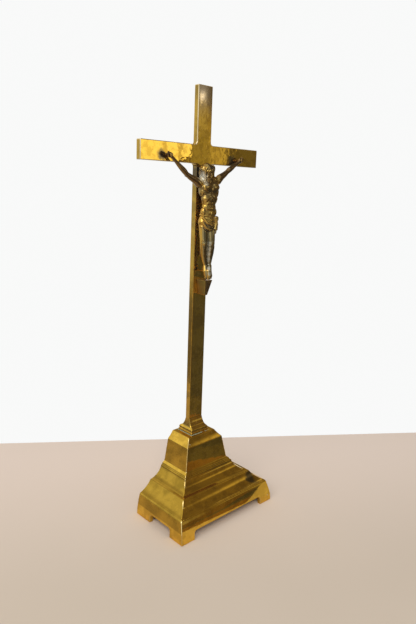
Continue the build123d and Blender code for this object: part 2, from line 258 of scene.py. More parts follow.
@dataclass(frozen=True)
class BarBrass:
    """Old polished brass with brown clouds, a dull olive film, pits and polishing lines; painted olive shade
    on faces to the left and painted dark patches of shade and reflection.

    A grey tone sets in towards the top between two levels. The joint is half the width and half the depth of
    the seam round the foot of the cross. Each painted dark patch has its x, its z and its radius.
    """

    name: str
    clean: Colour = (0.82, 0.51, 0.064)
    brown: Colour = (0.38, 0.215, 0.018)
    olive: Colour = (0.40, 0.245, 0.032)
    pit: Colour = (0.05, 0.035, 0.012)
    grey_top_tone: Colour = (0.36, 0.31, 0.25)
    painted_shade_tone: Colour = (0.095, 0.078, 0.050)
    speck: Colour = (0.75, 0.73, 0.66)
    verdigris: Colour = (0.34, 0.41, 0.31)
    gloss: float = 0.03
    tarnish: float = 0.45
    film: float = 0.5
    satin: float = 0.85
    cloud: float = 24.0
    wave: float = 0.045
    lump: float = 13.0
    grey_top: Flat = (400.0, 500.0)
    dust: float = 0.01
    grain: Grain = Grain.UPRIGHT
    joint: Flat = (8.4, 7.55)
    painted_shades: tuple[Point, ...] = ()

    def painted_shade(self, graph: Graph, place: Value, blots: Value) -> Value:
        """How dark each spot is from the painted patches of shade and reflection.

        Args:
            graph: graph of the material.
            place: place in millimetres.
            blots: noise that makes the patches ragged.

        Returns:
            1 in the patches and 0 outside.
        """
        across, _, level = graph.axes(place)
        found: Any = 0.0
        for x, z, radius in self.painted_shades:
            aside, up = (across - x) * (1.0 / radius), (level - z) * (1.2 / radius)
            gap = graph.math("SQRT", aside * aside + up * up) + 1.6 * (blots - 0.5)
            found = graph.math("MAXIMUM", graph.step(gap, 1.05, 0.45), found)
        return graph.math("ADD", found, 0.0)

    def crust(self, graph: Graph, place: Value) -> Value:
        """How green each spot is from the seam round the foot of the cross, which fades to the right.

        Args:
            graph: graph of the material.
            place: place in millimetres.

        Returns:
            1 in the seam and 0 outside.
        """
        across, along, level = graph.axes(place)
        aside = graph.math("ABSOLUTE", across) - self.joint[0]
        ahead = graph.math("ABSOLUTE", along - AXIS_Y) - self.joint[1]
        near = graph.band(graph.math("MAXIMUM", aside, ahead), 0.1, 0.75) * graph.band(level, SEAT_Z, 0.6)
        return near * graph.step(graph.noise(place, 2.6, 4.0, 0.7) - 0.02 * across, 0.32, 0.46)

    def material(self) -> bpy.types.Material:
        """Build the node material, which reads the mesh's satin attribute:
        the painted shade on faces to the left.

        Returns:
            The finished material.
        """
        made, graph = new_material(self.name)
        place = graph.place()
        clouds = graph.noise(place, self.cloud, 4.0)
        blots = graph.noise(graph.shift(place, (31.0, 7.0, 13.0)), self.cloud / 4.0, 5.0, 0.62)
        fine = graph.noise(place, 0.7, 3.0)
        lines = graph.noise(graph.stretch(place, self.grain.value), 0.28, 2.0)
        streaks = graph.noise(graph.stretch(place, self.grain.value), 1.5, 3.0)
        brown = graph.step(0.45 * clouds + 0.47 * blots + 0.08 * streaks, 0.47, 0.55) * self.tarnish
        film = graph.noise(graph.shift(place, (3.0, 57.0, 5.0)), self.cloud * 0.6, 4.0)
        film = graph.step(film, 0.42, 0.66)
        # painted shade: faces to the left are mixed toward olive and made duller
        satin = graph.attribute("satin")
        # the olive film is real; the left-face part of this mix is painted shade
        dull = graph.math("MAXIMUM", film * self.film, satin * (0.75 + 0.5 * film) * self.satin)
        colour = graph.mix(brown, self.clean, self.brown)
        colour = graph.mix(graph.math("MINIMUM", dull, 1.0), colour, self.olive)
        pits = graph.step(graph.cells(place, 2.3), 0.13, 0.05) * graph.step(blots, 0.52, 0.62)
        colour = graph.mix(pits * 0.7, colour, self.pit)
        level = graph.axes(place)[2]
        # greyer towards the top between two levels, where the relief is also smoothed
        grey_top = graph.step(level + 8.0 * (blots - 0.5), *self.grey_top) * (1.0 - satin)
        colour = graph.mix(grey_top * 0.8, colour, self.grey_top_tone)
        # painted shade: dark patches that stand in for shade and for reflections of nearby parts
        painted_shade = self.painted_shade(graph, place, blots)
        colour = graph.mix(painted_shade * 0.9, colour, self.painted_shade_tone)
        specks = graph.step(graph.cells(graph.shift(place, (5.0, 3.0, 2.0)), 6.5), 0.075, 0.045)
        specks = specks * graph.step(clouds, 0.50, 0.56) * (1.0 - satin)
        colour = graph.mix(specks * 0.8, colour, self.speck)
        crust = self.crust(graph, place)
        colour = graph.mix(crust, colour, self.verdigris)
        rough = self.gloss + 0.012 * brown + 0.20 * dull + 0.006 * lines + 0.006 * fine
        rough = rough + 0.02 * grey_top + 0.5 * crust + 0.10 * painted_shade + 0.4 * specks
        waves = graph.noise(graph.shift(place, (0.0, 0.0, 91.0)), self.lump, 2.0)
        ripple = graph.noise(graph.shift(place, (17.0, 0.0, 0.0)), 3.2, 2.0)
        normal = graph.bump((waves + 0.22 * ripple - 0.6) * (1.0 - grey_top), self.wave * MM)
        normal = graph.bump(0.3 * lines + 0.2 * fine - 5.0 * pits + 12.0 * crust, 0.0006 * MM, normal)
        metal = 1.0 - 0.9 * crust
        graph.surface(self.dust, Base_Color=colour, Metallic=metal, Roughness=rough, Normal=normal)
        return made


@dataclass(frozen=True)
class CastBrass:
    """Cast figure: dark brass, bright on its heights from wear, with painted pale highlights and dark
    hollows.
    """

    name: str
    bright: Colour = (0.72, 0.47, 0.085)
    brown: Colour = (0.205, 0.132, 0.032)
    dark: Colour = (0.15, 0.084, 0.027)
    # olive: tone of the painted dark reflection on the legs
    olive: Colour = (0.160, 0.135, 0.058)
    dull: Colour = (0.085, 0.070, 0.030)
    flank_highlight_copper: Colour = (0.58, 0.32, 0.040)
    hollow: Colour = (0.035, 0.028, 0.015)
    # pale tone of the painted highlights and of the residue in deep hollows
    bloom: Colour = (0.60, 0.61, 0.54)
    gloss: float = 0.10
    dust: float = 0.012
    arms_across: Flat = (7.2, 10.2)
    arms_level: Flat = (230.0, 236.0)
    chest_level: Flat = (211.0, 221.0)
    legs_level: Flat = (212.0, 204.0)
    head_level: Flat = (243.0, 246.5)

    def material(self) -> bpy.types.Material:
        """Build the node material, which reads three attributes of the mesh: depth, with painted shade on the
        back;
        the painted highlight down the left flank; and the painted pale highlights.

        Returns:
            The finished material.
        """
        made, graph = new_material(self.name)
        place = graph.place()
        recess = graph.attribute("recess")
        clouds = graph.noise(place, 9.0, 4.0)
        blots = graph.noise(graph.shift(place, (13.0, 3.0, 41.0)), 2.2, 4.0, 0.62)
        fine = graph.noise(place, 0.35, 3.0)
        # painted highlight down the left flank, tinted copper
        rubbed = graph.attribute("rubbed")
        across, _, level = graph.axes(place)
        arms = graph.step(graph.math("ABSOLUTE", across), *self.arms_across)
        arms = arms * graph.step(level, *self.arms_level)
        high = graph.step(level, *self.chest_level)
        wear_and_highlight = graph.step(recess + 0.15 * (blots - 0.5), 0.0, -0.55)
        wear_and_highlight = wear_and_highlight * (1.0 - 0.9 * arms) * (1.0 - 0.65 * high)
        # deep: dark patina in the hollows, and painted shade on the back toward the bar
        deep = graph.step(recess + 0.12 * (blots - 0.5), 0.10, 0.70)
        brown = graph.step(0.85 * clouds + 0.15 * blots, 0.36, 0.54)
        # painted dark reflection: the legs are tinted dark olive, but for the bright left flank
        low = graph.step(level, *self.legs_level)
        # the wear on the heights is joined by the painted highlight down the left flank
        wear_and_highlight = graph.math("MAXIMUM", wear_and_highlight * (1.0 - 0.5 * low), rubbed * (0.75 - 0.35 * high))
        colour = graph.mix((0.35 + 0.65 * brown) * (1.0 - 0.85 * wear_and_highlight), self.bright, self.brown)
        colour = graph.mix(arms * 0.7, colour, self.dark)
        colour = graph.mix(low * (1.0 - wear_and_highlight) * 0.85, colour, self.olive)
        head = graph.step(level, *self.head_level) * (1.0 - arms)
        colour = graph.mix(head * (0.6 - 0.5 * wear_and_highlight), colour, self.dull)
        colour = graph.mix(rubbed * 0.8, colour, self.flank_highlight_copper)
        colour = graph.mix(deep * 0.42, colour, self.hollow)
        # painted pale highlights in spots, and a pale residue in the deep hollows
        painted_pale_highlight = graph.attribute("bloom") * graph.step(blots + 0.4 * clouds, 0.32, 0.66)
        bloom = graph.math("MAXIMUM", painted_pale_highlight, graph.step(recess + 0.9 * (clouds - 0.5), 0.34, 0.70) * 0.35)
        colour = graph.mix(bloom, colour, self.bloom)
        rough = self.gloss + 0.16 * deep + 0.05 * brown - 0.05 * wear_and_highlight + 0.05 * fine + 0.2 * bloom
        normal = graph.bump(0.2 * fine + 0.8 * blots, 0.008 * MM)
        graph.surface(
            self.dust,
            Base_Color=colour,
            Metallic=1.0 - 0.35 * bloom,
            Roughness=rough,
            Normal=normal,
            Coat_Weight=(0.4 - 0.3 * rubbed) * (1.0 - 0.6 * arms),
            Coat_Roughness=0.10,
        )
        return made


@dataclass(frozen=True)
class PlatedSteel:
    """Dull plated steel of the fixings inside the pedestal."""

    name: str
    colour: Colour = (0.50, 0.49, 0.46)
    rust: Colour = (0.20, 0.10, 0.05)

    def material(self) -> bpy.types.Material:
        """Build the node material.

        Returns:
            The finished material.
        """
        made, graph = new_material(self.name)
        place = graph.place()
        spots = graph.step(graph.noise(place, 2.4, 5.0, 0.65), 0.55, 0.68)
        fine = graph.noise(place, 0.3, 2.0)
        colour = graph.mix(spots * 0.8, self.colour, self.rust)
        normal = graph.bump(fine + spots, 0.02 * MM)
        rough = 0.34 + 0.3 * spots + 0.08 * fine
        graph.surface(Base_Color=colour, Metallic=1.0 - 0.6 * spots, Roughness=rough, Normal=normal)
        return made


class Bench:
    """The workbench: the operator moves that every piece is made with, in millimetres."""

    @staticmethod
    def clear() -> None:
        """Leave edit mode and let go of everything."""
        if bpy.context.mode != "OBJECT":
            bpy.ops.object.mode_set(mode="OBJECT")
        bpy.ops.object.select_all(action="DESELECT")

    @classmethod
    def take(cls, *objs: bpy.types.Object) -> None:
        """Select objects alone.

        Args:
            objs: the objects, of which the first becomes active.
        """
        cls.clear()
        for obj in objs:
            obj.select_set(True)
        bpy.context.view_layer.objects.active = objs[0]

    @classmethod
    def block(cls, name: str, size: Point, middle: Point) -> bpy.types.Object:
        """Add a cube at its size and place.

        Args:
            name: name of the object and its mesh.
            size: lengths along the axes.
            middle: where its middle goes.

        Returns:
            The new object, with its place in its mesh.
        """
        cls.clear()
        bpy.ops.mesh.primitive_cube_add(size=1.0, location=middle, scale=size)
        bpy.ops.object.transform_apply(location=True, rotation=True, scale=True)
        made = bpy.context.object
        made.name = made.data.name = name
        return made

    @classmethod
    def rod(cls, name: str, start: Point, end: Point, radius: float) -> bpy.types.Object:
        """Add a round rod between two points.

        Args:
            name: name of the object and its mesh.
            start: middle of one end.
            end: middle of the other end.
            radius: radius of the rod.

        Returns:
            The new object, with its place in its mesh.
        """
        cls.clear()
        run = Vector(end) - Vector(start)
        middle = (Vector(start) + Vector(end)) / 2
        turn = run.to_track_quat("Z", "Y").to_euler()
        bpy.ops.mesh.primitive_cylinder_add(
            vertices=32, radius=radius, depth=run.length, location=middle, rotation=turn
        )
        bpy.ops.object.transform_apply(location=True, rotation=True, scale=True)
        made = bpy.context.object
        made.name = made.data.name = name
        return made

    @classmethod
    def pick_faces(cls, obj: bpy.types.Object, test: Callable[[Vector, Vector], bool]) -> None:
        """Go into edit mode with some faces selected.

        Args:
            obj: the object.
            test: whether a face of this middle and normal is selected.
        """
        cls.open(obj, "FACE")
        bpy.ops.object.mode_set(mode="OBJECT")
        for face in obj.data.polygons:
            face.select = test(face.center, face.normal)
        bpy.ops.object.mode_set(mode="EDIT")

    @classmethod
    def pick_edges(cls, obj: bpy.types.Object, test: Callable[[Vector, Vector], bool]) -> None:
        """Go into edit mode with some edges selected.

        Args:
            obj: the object.
            test: whether an edge with these two ends is selected.
        """
        cls.open(obj, "EDGE")
        bpy.ops.object.mode_set(mode="OBJECT")
        points = [vertex.co for vertex in obj.data.vertices]
        for edge in obj.data.edges:
            edge.select = test(points[edge.vertices[0]], points[edge.vertices[1]])
        bpy.ops.object.mode_set(mode="EDIT")

    @classmethod
    def open(cls, obj: bpy.types.Object, kind: str) -> None:
        """Go into edit mode with nothing selected.

        Args:
            obj: the object.
            kind: what is selected there, such as FACE or EDGE.
        """
        cls.take(obj)
        bpy.ops.object.mode_set(mode="EDIT")
        bpy.ops.mesh.select_mode(type=kind)
        bpy.ops.mesh.select_all(action="DESELECT")

    @staticmethod
    def pull(move: Point) -> None:
        """Extrude what is selected."""
        bpy.ops.mesh.extrude_region_move(TRANSFORM_OT_translate={"value": move})

    @classmethod
    def climb(cls, levels: Sequence[Point], start: Point, middle: Flat) -> None:
        """Extrude the selected level face through a run of levels.

        Args:
            levels: half width, depth and height of each next level.
            start: half width, depth and height of the selected face.
            middle: x and y that stay put as a level grows or shrinks.
        """
        wide, deep, high = start
        for new_wide, new_deep, new_high in levels:
            cls.pull((0.0, 0.0, new_high - high))
            bpy.ops.transform.resize(
                value=(new_wide / wide, new_deep / deep, 1.0), center_override=(*middle, new_high)
            )
            wide, deep, high = new_wide, new_deep, new_high

    @classmethod
    def modify(cls, obj: bpy.types.Object, kind: str, **settings: Any) -> None:
        """Add a modifier and apply it.

        Args:
            obj: the object.
            kind: Blender's name of the modifier type.
            settings: the modifier's settings.
        """
        cls.take(obj)
        made = obj.modifiers.new(kind.title(), kind)
        for key, setting in settings.items():
            setattr(made, key, setting)
        bpy.ops.object.modifier_apply(modifier=made.name)

    @classmethod
    def cut(cls, obj: bpy.types.Object, *cutters: bpy.types.Object) -> None:
        """Cut other solids out of one, and clear them away.

        Args:
            obj: the solid that is cut.
            cutters: the solids that are cut out of it.
        """
        for cutter in cutters:
            cls.modify(obj, "BOOLEAN", operation="DIFFERENCE", object=cutter, solver="EXACT")
            bpy.data.objects.remove(cutter)

    @classmethod
    def weld(cls, obj: bpy.types.Object, other: bpy.types.Object) -> None:
        """Join another solid to one, and clear it away."""
        cls.modify(obj, "BOOLEAN", operation="UNION", object=other, solver="EXACT")
        bpy.data.objects.remove(other)

    @classmethod
    def soften(cls, obj: bpy.types.Object, width: float, edge_finish: int = 1) -> None:
        """Round all sharp edges, and give the rounding a finish of its own.

        Args:
            obj: the object.
            width: width of the rounding.
            edge_finish: number of the rounding's finish.
        """
        while len(obj.data.materials) <= edge_finish:
            obj.data.materials.append(None)
        cls.modify(
            obj,
            "BEVEL",
            width=width,
            segments=4,
            limit_method="ANGLE",
            angle_limit=SHARP_EDGE,
            material=edge_finish,
            loop_slide=False,
            use_clamp_overlap=False,
        )

    @staticmethod
    def dull_edges(obj: bpy.types.Object, wear_and_highlight: Callable[[Vector, Vector], bool]) -> None:
        """Give roundings the plain finish, but for those that keep the bright edge finish: wear and painted
        highlight.

        Args:
            obj: the object.
            wear_and_highlight: whether a rounding's face of this middle and normal keeps the bright edge
                finish.
        """
        for face in obj.data.polygons:
            if face.material_index and not wear_and_highlight(face.center, face.normal):
                face.material_index = 0

    @classmethod
    def finish(cls, obj: bpy.types.Object, *finishes: bpy.types.Material, smooth: float = 35.0) -> None:
        """Bring a piece from millimetres to metres, with its faces outwards and its finishes on.

        Args:
            obj: the piece.
            finishes: materials for its slots, in order.
            smooth: angle in degrees under which faces meet smoothly.
        """
        cls.open(obj, "FACE")
        bpy.ops.mesh.select_all(action="SELECT")
        bpy.ops.mesh.normals_make_consistent(inside=False)
        cls.take(obj)
        obj.scale = (MM, MM, MM)
        bpy.ops.object.transform_apply(location=True, rotation=True, scale=True)
        bpy.ops.object.shade_smooth_by_angle(angle=math.radians(smooth))
        if smooth < 90.0:
            cls.modify(obj, "WEIGHTED_NORMAL", mode="FACE_AREA", weight=100, keep_sharp=True)
        for index, made in enumerate(finishes):
            if index < len(obj.data.materials):
                obj.data.materials[index] = made
            else:
                obj.data.materials.append(made)


def read_points(mesh: bpy.types.Mesh, what: str) -> np.ndarray:
    """Read a vector of every point of a mesh.

    Args:
        mesh: the mesh.
        what: co for the places, normal for the normals.

    Returns:
        One row for each point.
    """
    found = np.empty(len(mesh.vertices) * 3, np.float32)
    mesh.vertices.foreach_get(what, found)
    return found.reshape(-1, 3).astype(np.float64)


def store(mesh: bpy.types.Mesh, name: str, domain: str, numbers: np.ndarray) -> None:
    """Store a number on every point or face of a mesh, as an attribute that its finish reads."""
    stored = mesh.attributes.new(name, "FLOAT", domain)
    stored.data.foreach_set("value", numbers.astype(np.float32))


def store_left_face_shade(made: bpy.types.Object) -> None:
    """Store on a mesh which faces take the painted shade, a duller olive tone: those to the left, less so
    the feet and the ledges that face up, which stay bright as painted highlights.

    Args:
        made: the mesh object, in millimetres.
    """
    normals = np.array([face.normal for face in made.data.polygons])
    levels = np.array([face.center.z for face in made.data.polygons])
    # painted shade on faces to the left; the feet and the upward ledges keep little of it, as painted
    # highlights
    dull = np.clip((-normals[:, 0] - 0.1) / 0.3, 0.0, 1.0) * np.clip((levels - FEET_Z) / 2.0, 0.1, 1.0)
    dull[(normals[:, 2] > 0.5) & (levels > LEDGE_Z)] *= 0.12
    store(made.data, "satin", "FACE", dull)


def hollow_run(start: Flat, end: Flat, round_share: float, steps: int) -> list[Flat]:
    """Points between the two edges of a moulding's hollow, as inset and height.

    Args:
        start: inset and height of its lower edge.
        end: inset and height of its upper edge.
        round_share: 0 for a plain slope, 1 for a quarter ellipse that starts level and ends upright.
        steps: how many parts the hollow is made of.

    Returns:
        The points, lowest first, without the two edges.
    """
    points = []
    for index in range(1, steps):
        share = index / steps
        turn = share * math.pi / 2
        along = round_share * math.sin(turn) + (1.0 - round_share) * share
        up = round_share * (1.0 - math.cos(turn)) + (1.0 - round_share) * share
        points.append((start[0] + (end[0] - start[0]) * along, start[1] + (end[1] - start[1]) * up))
    return points


def round_off(points: Sequence[Flat], cuts: dict[Flat, float], steps: int = 4) -> list[Flat]:
    """Round the corners of a profile.

    Args:
        points: inset and height of every point.
        cuts: for the points to round, how far from the point its rounding starts.
        steps: how many faces a rounding has.

    Returns:
        The profile with its roundings.
    """
    rounded = []
    for index, point in enumerate(points):
        if point not in cuts:
            rounded.append(point)
            continue
        here, before, after = Vector(point), Vector(points[index - 1]), Vector(points[index + 1])
        start = here + (before - here).normalized() * min(cuts[point], 0.45 * (before - here).length)
        end = here + (after - here).normalized() * min(cuts[point], 0.45 * (after - here).length)
        for step in range(steps + 1):
            share = step / steps
            spot = start * (1.0 - share) ** 2 + here * (2.0 * share * (1.0 - share)) + end * share ** 2
            rounded.append((spot.x, spot.y))
    return rounded


@dataclass
class Pedestal:
    """Hollow stepped pedestal with mouldings on three sides, a flat back, and arches between four feet."""

    half_width: float = 45.3
    depth: float = 51.0
    foot: Flat = (0.25, 5.0)
    plinth: Flat = (2.5, 15.7)
    plinth_round: float = -0.2
    lip: Flat = (12.0, 23.4)
    lower_round: float = 0.45
    cove: Flat = (21.9, 31.8)
    upper_round: float = 0.8
    quirk: Flat = (22.9, 32.2)
    ledge: Flat = (23.2, 33.3)
    die_foot: Flat = (24.9, 34.4)
    die: Flat = (28.0, 51.2)
    neck: Flat = (32.5, SEAT_Z)
    neck_round: float = 0.2
    soft_cut: float = 2.4
    crisp_cut: float = 0.45
    front_levels: tuple[float, ...] = (0.0, 5.0, 15.7, 31.0, 34.3, 51.2, SEAT_Z)
    front_extra: tuple[float, ...] = (0.0, 0.1, 1.5, 1.3, 0.9, 0.4, 0.0)
    wall: float = 3.0
    cavity: tuple[Flat, ...] = ((2.3, 12.6), (16.55, 20.4), (24.7, 28.1), (28.0, 50.1))
    arch_height: float = 6.3
    arch_round: float = 2.0
    front_span: float = 66.6
    side_span: float = 22.0
    side_middle: float = -1.0
    hole_radius: float = 2.05
    hole_ends: Flat = (-9.0, 3.0)
    edge: float = 0.5

    def levels(self) -> list[Point]:
        """List the levels above the ground; the front leans back more than the sides.

        Returns:
            Half the width, the depth and the height of each level, lowest first.
        """
        points = [self.foot, *hollow_run(self.foot, self.plinth, self.plinth_round, 4)]
        points += [self.plinth, *hollow_run(self.plinth, self.lip, self.lower_round, 7)]
        points += [self.lip, *hollow_run(self.lip, self.cove, self.upper_round, 9)]
        points += [self.cove, self.quirk, self.ledge, self.die_foot, self.die]
        points += [*hollow_run(self.die, self.neck, self.neck_round, 4), self.neck]
        cuts = dict.fromkeys((self.cove, self.quirk, self.ledge, self.die_foot, self.die), self.crisp_cut)
        cuts |= {self.plinth: self.soft_cut, self.lip: self.soft_cut}
        return [
            (
                self.half_width - inset,
                self.depth - inset - float(np.interp(high, self.front_levels, self.front_extra)),
                high,
            )
            for inset, high in round_off(points, cuts)
        ]

    def arch(self, size: Point, middle: Point, along_x: bool) -> bpy.types.Object:
        """Cutter for an arch: a block with two rounded upper edges.

        Args:
            size: lengths along the axes.
            middle: where its middle goes, at the ground.
            along_x: whether the rounded edges run along X rather than Y.

        Returns:
            The cutter.
        """
        made = Bench.block("arch", size, middle)
        run = 0 if along_x else 1
        top = size[2] / 2 - SLACK
        Bench.pick_edges(made, lambda a, b: min(a.z, b.z) > top and abs(a[run] - b[run]) > 0.5 * size[run])
        bpy.ops.mesh.bevel(offset=self.arch_round, segments=5, affect="EDGES")
        Bench.clear()
        return made

    def build(self) -> bpy.types.Object:
        """Model the pedestal.

        Returns:
            The pedestal, in millimetres.
        """
        levels = self.levels()
        wide, deep, high = levels[0]
        made = Bench.block("pedestal", (2 * self.half_width, self.depth, high), (0.0, 0.0, high / 2))
        Bench.pick_faces(made, lambda _, normal: normal.z > FACING)
        shrink = (wide / self.half_width, deep / self.depth, 1.0)
        bpy.ops.transform.resize(value=shrink, center_override=(0.0, BACK_Y, high))
        Bench.climb(levels[1:], levels[0], (0.0, BACK_Y))
        Bench.pick_faces(made, lambda _, normal: normal.z < -FACING)
        bpy.ops.mesh.inset(thickness=self.wall)
        wide, deep = self.half_width - self.wall, self.depth - 2 * self.wall
        hollow = [(wide - inset, deep - inset, high) for inset, high in self.cavity]
        Bench.climb(hollow, (wide, deep, 0.0), (0.0, BACK_Y - self.wall))
        Bench.clear()
        high = 2 * self.arch_height
        hole_low, hole_top = ((0.0, AXIS_Y, SEAT_Z + end) for end in self.hole_ends)
        Bench.cut(
            made,
            self.arch((self.front_span, 3 * self.depth, high), (0.0, 0.0, 0.0), False),
            self.arch((4 * self.half_width, self.side_span, high), (0.0, self.side_middle, 0.0), True),
            Bench.rod("stud_hole", hole_low, hole_top, self.hole_radius),
        )
        Bench.soften(made, self.edge)
        # the front corners keep the bright edge finish: wear and a painted highlight
        Bench.dull_edges(made, lambda _, normal: abs(normal.x) > 0.3 and normal.y < -0.3)
        return made

    def dress(self, made: bpy.types.Object) -> bpy.types.Object:
        """Give the pedestal its finishes and its place on the frame.

        Args:
            made: the pedestal, in millimetres.

        Returns:
            The finished pedestal.
        """
        face = BarBrass(
            "pedestal_brass",
            olive=(0.34, 0.208, 0.020),
            grain=Grain.LEVEL,
            tarnish=0.4,
            film=0.25,
            dust=0.006,
            # painted dark reflection at the right end of the mouldings
            painted_shades=((31.6, 19.8, 5.4),),
        ).material()
        edge = BarBrass(
            "pedestal_edge", clean=(0.95, 0.74, 0.33), tarnish=0.5, film=0.1, satin=0.1, gloss=0.1
        ).material()
        store_left_face_shade(made)
        Bench.finish(made, face, edge)
        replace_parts(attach(made, "base"), "base")
        return made


@dataclass
class BarCross:
    """Flat bar cross with rounded inner corners and a moulded foot."""

    width: float = 12.6
    thickness: float = 4.2
    top: float = 300.0
    arm_low: float = 250.0
    arm_high: float = 262.4
    reach: float = 52.7
    inner_round: float = 2.0
    cove_top: float = 67.9
    hidden: float = 1.2
    foot_profile: tuple[Flat, ...] = (
        (8.4, SEAT_Z), (8.4, 58.1), (7.9, 58.25), (7.9, 58.7), (8.2, 58.9), (8.0, 60.0), (7.3, 60.7)
    )
    foot_cut: float = 0.22
    foot_deep: float = 0.85
    foot_edge: float = 0.6
    cove_steps: int = 10
    cove_plain: float = 0.3
    cove_inset: float = 0.03
    top_inset: float = 0.1
    edge: float = 0.5

    def foot_levels(self) -> list[Point]:
        """List the levels of the foot, from the seat up into the bar.

        Returns:
            Half the width, half the depth and the height of each level.
        """
        cuts = dict.fromkeys(self.foot_profile[1:-1], self.foot_cut)
        levels = [(wide, wide - self.foot_deep, high) for wide, high in round_off(self.foot_profile, cuts, 3)]
        wide_low, deep_low, low = levels[-1]
        wide_top, deep_top = (size / 2 - self.cove_inset for size in (self.width, self.thickness))
        for index in range(1, self.cove_steps + 1):
            share = 1.0 - index / self.cove_steps
            flare = self.cove_plain * share + (1.0 - self.cove_plain) * (1.0 - math.sqrt(1.0 - share ** 2))
            wide = wide_top + (wide_low - wide_top) * flare
            deep = deep_top + (deep_low - deep_top) * flare
            levels.append((wide, deep, low + (self.cove_top - low) * index / self.cove_steps))
        levels.append((wide_top - self.top_inset, deep_top - self.top_inset, self.cove_top + self.hidden))
        return levels

    def foot(self) -> bpy.types.Object:
        """Model the moulded foot, whose top is hidden in the bar.

        Returns:
            The foot, in millimetres.
        """
        levels = self.foot_levels()
        wide, deep, _ = levels[0]
        low = levels[1][2]
        made = Bench.block(
            "cross_foot", (2 * wide, 2 * deep, low - SEAT_Z), (0.0, AXIS_Y, (low + SEAT_Z) / 2)
        )
        Bench.pick_faces(made, lambda _, normal: normal.z > FACING)
        Bench.climb(levels[2:], (wide, deep, low), (0.0, AXIS_Y))
        Bench.clear()
        Bench.soften(made, self.foot_edge)
        return made

    def build(self) -> bpy.types.Object:
        """Model the cross.

        Returns:
            The cross, in millimetres.
        """
        half = self.width / 2
        low = self.cove_top - self.hidden
        made = Bench.block(
            "bar_cross", (self.width, self.thickness, self.top - low), (0.0, AXIS_Y, (self.top + low) / 2)
        )
        for level in (self.arm_low, self.arm_high):
            Bench.open(made, "FACE")
            bpy.ops.mesh.select_all(action="SELECT")
            bpy.ops.mesh.bisect(plane_co=(0.0, 0.0, level), plane_no=(0.0, 0.0, 1.0))
        for side in Side:
            sign = side.value
            Bench.pick_faces(
                made, lambda mid, normal: sign * normal.x > FACING and self.arm_low < mid.z < self.arm_high
            )
            Bench.pull((sign * (self.reach - half), 0.0, 0.0))
        Bench.pick_edges(
            made, lambda a, b: a.y != b.y and self.is_inner_corner(a) and self.is_inner_corner(b)
        )
        bpy.ops.mesh.bevel(offset=self.inner_round, segments=6, affect="EDGES")
        Bench.soften(made, self.edge)
        Bench.weld(made, self.foot())
        # the arms and the top keep the bright edge finish, wear and a painted highlight; lower roundings turn
        # plain
        Bench.dull_edges(made, lambda middle, _: middle.z > self.arm_low)
        return made

    def is_inner_corner(self, point: Vector) -> bool:
        """Whether a point is where an arm meets the shaft."""
        level = min(abs(point.z - self.arm_low), abs(point.z - self.arm_high))
        return level < SLACK and abs(abs(point.x) - self.width / 2) < SLACK

    def dress(self, made: bpy.types.Object) -> bpy.types.Object:
        """Give the cross its finishes and its place on the frame.

        Args:
            made: the cross, in millimetres.

        Returns:
            The finished cross.
        """
        face = BarBrass(
            "cross_brass",
            olive=(0.35, 0.225, 0.042),
            gloss=0.012,
            film=0.06,
            cloud=15.0,
            wave=0.05,
            lump=6.0,
            grey_top=(277.0, 296.0),
            # painted dark reflections beside both hands, and painted shade on the shaft's left edge just
            # below the crossbar
            painted_shades=((-35.5, 253.8, 4.6), (26.5, 253.4, 5.6), (-6.6, 244.0, 8.0)),
        ).material()
        edge = BarBrass(
            "cross_edge", clean=(0.96, 0.80, 0.50), tarnish=0.3, film=0.1, satin=0.1, gloss=0.06
        ).material()
        store_left_face_shade(made)
        Bench.finish(made, face, edge)
        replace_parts(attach(made, "cross"), "cross")
        return made


@dataclass
class FootConsole:
    """Tapered block below the feet, with a spigot that is riveted over behind the bar."""

    top_z: float = 172.0
    bottom_z: float = 161.0
    top: Flat = (3.5, 9.2)
    bottom: Flat = (1.35, 6.7)
    spigot: float = 1.2
    spigot_sunk: float = 2.0
    rivet: float = 0.5
    rivet_round: float = 0.3
    edge: float = 0.45

    def build(self) -> bpy.types.Object:
        """Model the block with its spigot.

        Returns:
            The block, in millimetres.
        """
        wide, deep = self.top
        high = self.top_z - self.bottom_z
        middle = (self.top_z + self.bottom_z) / 2
        made = Bench.block("foot_console", (2 * wide, deep, high), (0.0, FACE_Y - deep / 2, middle))
        Bench.pick_faces(made, lambda _, normal: normal.z < -FACING)
        taper = (self.bottom[0] / wide, self.bottom[1] / deep, 1.0)
        bpy.ops.transform.resize(value=taper, center_override=(0.0, FACE_Y, self.bottom_z))
        Bench.soften(made, self.edge)
        end = REAR_Y + self.rivet
        pin = Bench.rod("spigot", (0.0, FACE_Y - self.spigot_sunk, middle), (0.0, end, middle), self.spigot)
        Bench.pick_edges(pin, lambda a, b: min(a.y, b.y) > end - SLACK)
        bpy.ops.mesh.bevel(offset=self.rivet_round, segments=3, affect="EDGES")
        Bench.weld(made, pin)
        # the lower left edge keeps the bright edge finish: wear and a painted highlight
        Bench.dull_edges(made, lambda spot, normal: normal.x < -0.1 and spot.z < self.bottom_z + self.edge)
        return made

    def dress(self, made: bpy.types.Object) -> bpy.types.Object:
        """Give the block its finishes and its place on the frame.

        Args:
            made: the block, in millimetres.

        Returns:
            The finished block.
        """
        face = BarBrass(
            "console_brass",
            clean=(0.42, 0.25, 0.060),
            brown=(0.18, 0.105, 0.030),
            olive=(0.26, 0.185, 0.030),
            tarnish=0.9,
            film=0.0,
            satin=1.0,
            cloud=6.0,
            gloss=0.25,
            dust=0.015,
        ).material()
        edge = BarBrass(
            "console_edge", clean=(0.62, 0.39, 0.10), tarnish=0.5, cloud=9.0, gloss=0.14
        ).material()
        store_left_face_shade(made)
        Bench.finish(made, face, edge)
        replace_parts(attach(made, "cross"), "foot_rest")
        return made


